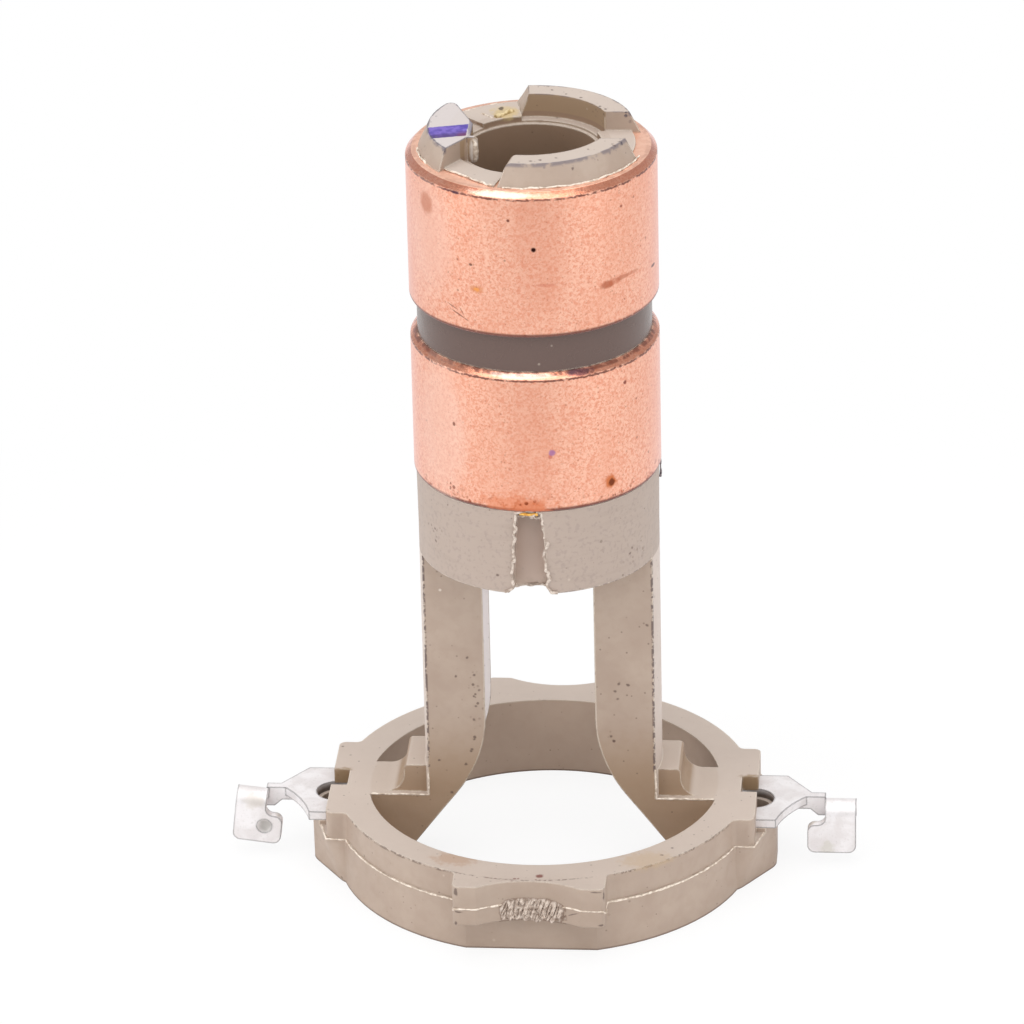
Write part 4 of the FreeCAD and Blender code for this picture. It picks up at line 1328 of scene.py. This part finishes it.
BODY_MARKS = (
    Mark((-2.1, 4.8, 50.1), (0.85, 0.75, 0.4), rgb(196, 172, 124), 0.5, 0.8),
    Mark((0.0, -14.2, 2.2), (9.0, 2.6, 3.4), rgb(158, 139, 124), 0.35, 0.2),
    Mark((-2.0, 4.9, 50.15), (0.9, 1.0, 0.3), rgb(206, 182, 134), 0.7, 0.8),
    Mark((-2.3, 5.5, 50.15), (0.16, 0.3, 0.2), rgb(78, 60, 48), 0.85, 0.8),
    # Painted shade: dark lines beside the key's fin
    Mark((-4.2, -2.2, 50.45), (0.1, 0.5, 0.7), rgb(122, 96, 86), 0.8, 0.3),
    Mark((-3.86, -2.2, 50.5), (0.1, 0.5, 0.9), rgb(180, 158, 140), 0.85, 0.2),
    Mark((-3.35, -2.1, 50.5), (0.32, 0.5, 0.9), rgb(234, 228, 222), 0.85, 0.3),
    Mark((-3.7, 0.4, 51.41), (0.15, 2.6, 0.3), rgb(118, 110, 124), 0.75, 0.6),
    Swarm((-4.6, 3.2, 51.41), (0.5, 0.7, 0.3), rgb(120, 112, 122), 0.6, 0.9),
    Mark((7.75, 0.5, 25.6), (0.2, 0.32, 3.0), rgb(116, 104, 104), 0.75, 0.4),
    Swarm((5.85, -2.73, 51.3), (0.7, 0.6, 0.6), rgb(84, 76, 84), 0.9, 0.9),
    Swarm((6.01, 1.80, 51.3), (0.7, 0.7, 0.6), rgb(84, 76, 84), 0.9, 0.8),
    Swarm((4.19, 2.89, 51.2), (0.6, 0.6, 0.6), rgb(110, 96, 88), 0.8, 0.9),
    Swarm((-5.4, -3.3, 50.9), (0.6, 0.6, 0.5), rgb(116, 106, 106), 0.8, 1.0),
    # Painted light: the inside of the front slot paler
    Mark((0.0, -6.5, 25.6), (1.6, 0.7, 3.4), rgb(196, 174, 161), 0.85, 0.3),
    Mark((0.64, -12.85, 5.31), (0.28, 0.24, 0.2), rgb(120, 58, 48), 0.85, 0.5),
    Swarm((-4.2, -2.25, 12.4), (0.5, 0.6, 1.6), rgb(104, 84, 74), 0.8, 0.8),
    Swarm((4.7, -2.25, 9.6), (0.4, 0.6, 0.6), rgb(104, 76, 68), 0.8, 0.8),
    Mark((-6.25, -2.25, 20.14), (0.1, 0.3, 0.1), rgb(226, 216, 204), 0.7, 0.3),
    Swarm((-6.2, -4.5, 25.3), (1.0, 1.0, 1.0), rgb(120, 102, 90), 0.5, 0.8),
    Swarm((6.6, -3.9, 24.1), (1.5, 1.5, 0.9), rgb(120, 102, 90), 0.5, 0.8),
    Mark((-4.6, -14.5, 4.95), (0.14, 0.4, 0.26), GRIME, 0.8, 1.1),
    Mark((-4.5, -14.5, 3.5), (0.3, 0.4, 0.06), GRIME, 0.8, 1.0),
    Mark((-4.65, -14.5, 2.7), (0.1, 0.4, 0.16), GRIME, 0.8, 1.1),
    Mark((4.78, -14.5, 4.85), (0.07, 0.4, 0.5), rgb(84, 66, 60), 0.85, 0.7),
    Mark((4.3, -14.5, 5.1), (0.4, 0.4, 0.05), GRIME, 0.7, 0.9),
    Mark((4.6, -14.5, 2.72), (0.2, 0.4, 0.07), GRIME, 0.8, 1.0),
    Mark((2.95, -13.9, 3.42), (0.45, 0.5, 0.05), rgb(96, 78, 70), 0.8, 0.9, 28.0),
    Mark((-4.9, -10.8, 5.3), (1.5, 0.9, 0.4), rgb(176, 138, 108), 0.5, 0.8),
    Mark((7.5, -10.6, 5.3), (1.8, 1.2, 0.4), rgb(190, 162, 124), 0.4, 0.8),
    Swarm((-0.3, -13.3, 5.3), (1.3, 0.35, 0.3), rgb(128, 92, 84), 0.8, 1.0),
    *both_sides(Mark((13.3, 1.05, 4.8), (0.9, 0.4, 0.7), rgb(146, 116, 78), 0.75, 0.6)),
    # Painted shade in the pin holes
    *both_sides(Mark((PIN_HOLE, 0.0, 2.4), (1.25, 1.25, 1.7), rgb(92, 70, 54), 0.85, 0.2)),
)
SHEET_MARKS = (
    # Painted shade at the pin holes
    *both_sides(Mark((PIN_HOLE, 0.0, 3.8), (1.9, 1.9, 0.42), rgb(84, 68, 54), 1.0, 0.1)),
    Mark((-18.3, -1.0, 2.11), (0.5, 0.5, 0.5), rgb(166, 162, 156), 0.8, 0.15),
    Mark((-18.9, -1.0, 3.9), (0.9, 0.6, 0.5), rgb(206, 196, 182), 0.4, 0.8),
    Mark((-17.2, -0.4, 2.9), (0.5, 0.6, 0.35), rgb(176, 166, 154), 0.6, 0.8),
    Mark((17.2, -0.4, 2.9), (0.5, 0.6, 0.35), rgb(190, 178, 162), 0.6, 0.8),
    Mark((18.4, -1.0, 1.2), (0.5, 0.6, 0.5), rgb(206, 202, 190), 0.5, 0.9),
)

# Middles of the larger dark specks: (x, y) on the lugs' tops, (x, z) on the legs' front faces, then others
LUG_SPOTS = (
    (0.93, 5.61), (1.86, 4.97), (2.84, 4.4), (4.12, 2.99), (4.52, 2.57), (5.97, 1.47), (0.41, -5.89),
    (1.01, -5.72), (1.97, -5.38), (3.83, -3.9), (5.7, -2.66), (5.26, -3.06), (5.4, -3.3),
)
LEG_SPOTS = (
    (-4.64, 15.3), (-5.38, 13.99), (-4.22, 14.08), (-3.92, 13.01), (-4.14, 11.84), (-4.29, 10.83),
    (-4.26, 9.59), (-4.32, 9.4), (-4.47, 8.71), (-4.5, 8.55), (-4.89, 7.61), (-5.85, 5.54), (-6.6, 7.87),
    (5.68, 13.55), (5.1, 13.61), (4.84, 13.1), (5.02, 12.52), (6.95, 17.87), (4.53, 9.83), (4.72, 9.48),
)
OTHER_SPOTS = (
    (6.2, 0.9, 51.38), (3.0, -5.9, 50.9), (-6.23, -4.49, 25.62), (-6.19, -4.55, 24.74), (6.1, -4.67, 24.16),
    (6.22, -4.51, 24.43), (-2.05, -7.4, 23.82), (8.2, -9.79, 5.31), (8.78, -8.83, 5.31),
)
BODY_SPOTS = (
    *((x, y, LUG_TOP) for x, y in LUG_SPOTS), *((x, -LEG_FACE, z) for x, z in LEG_SPOTS), *OTHER_SPOTS,
)


def main() -> None:
    """Builds the studio and every piece."""
    logging.basicConfig(level=logging.INFO, format="%(message)s")
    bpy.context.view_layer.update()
    Studio().build()
    CopperRing("upper_slip_ring", "upper_copper_ring", 0.2, UPPER_MARKS).build()
    CopperRing("lower_slip_ring", "lower_copper_ring", 0.85, LOWER_MARKS).build()
    lower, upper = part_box("lower_slip_ring"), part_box("upper_slip_ring")
    collar = (COLLAR_BOTTOM, lower[0].z / MM)
    groove = (lower[1].z / MM, upper[0].z / MM)
    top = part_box("insulator_body")[1].z / MM
    rough = {kind: kind.value.build() for kind in Rough}
    tinned = TinnedSheet(SHEET_MARKS).build()
    dress("insulator_body", FilledMoulding(collar, groove, top, INK, BODY_MARKS, BODY_SPOTS).build())
    dress("right_terminal", tinned)
    dress("left_terminal", tinned)
    BaseSeam().build(rough[Rough.BROKEN])
    GateScar().build(rough[Rough.TORN])
    for fringe in fringes(collar):
        fringe.build(rough[fringe.rough])


if __name__ == "__main__":
    main()
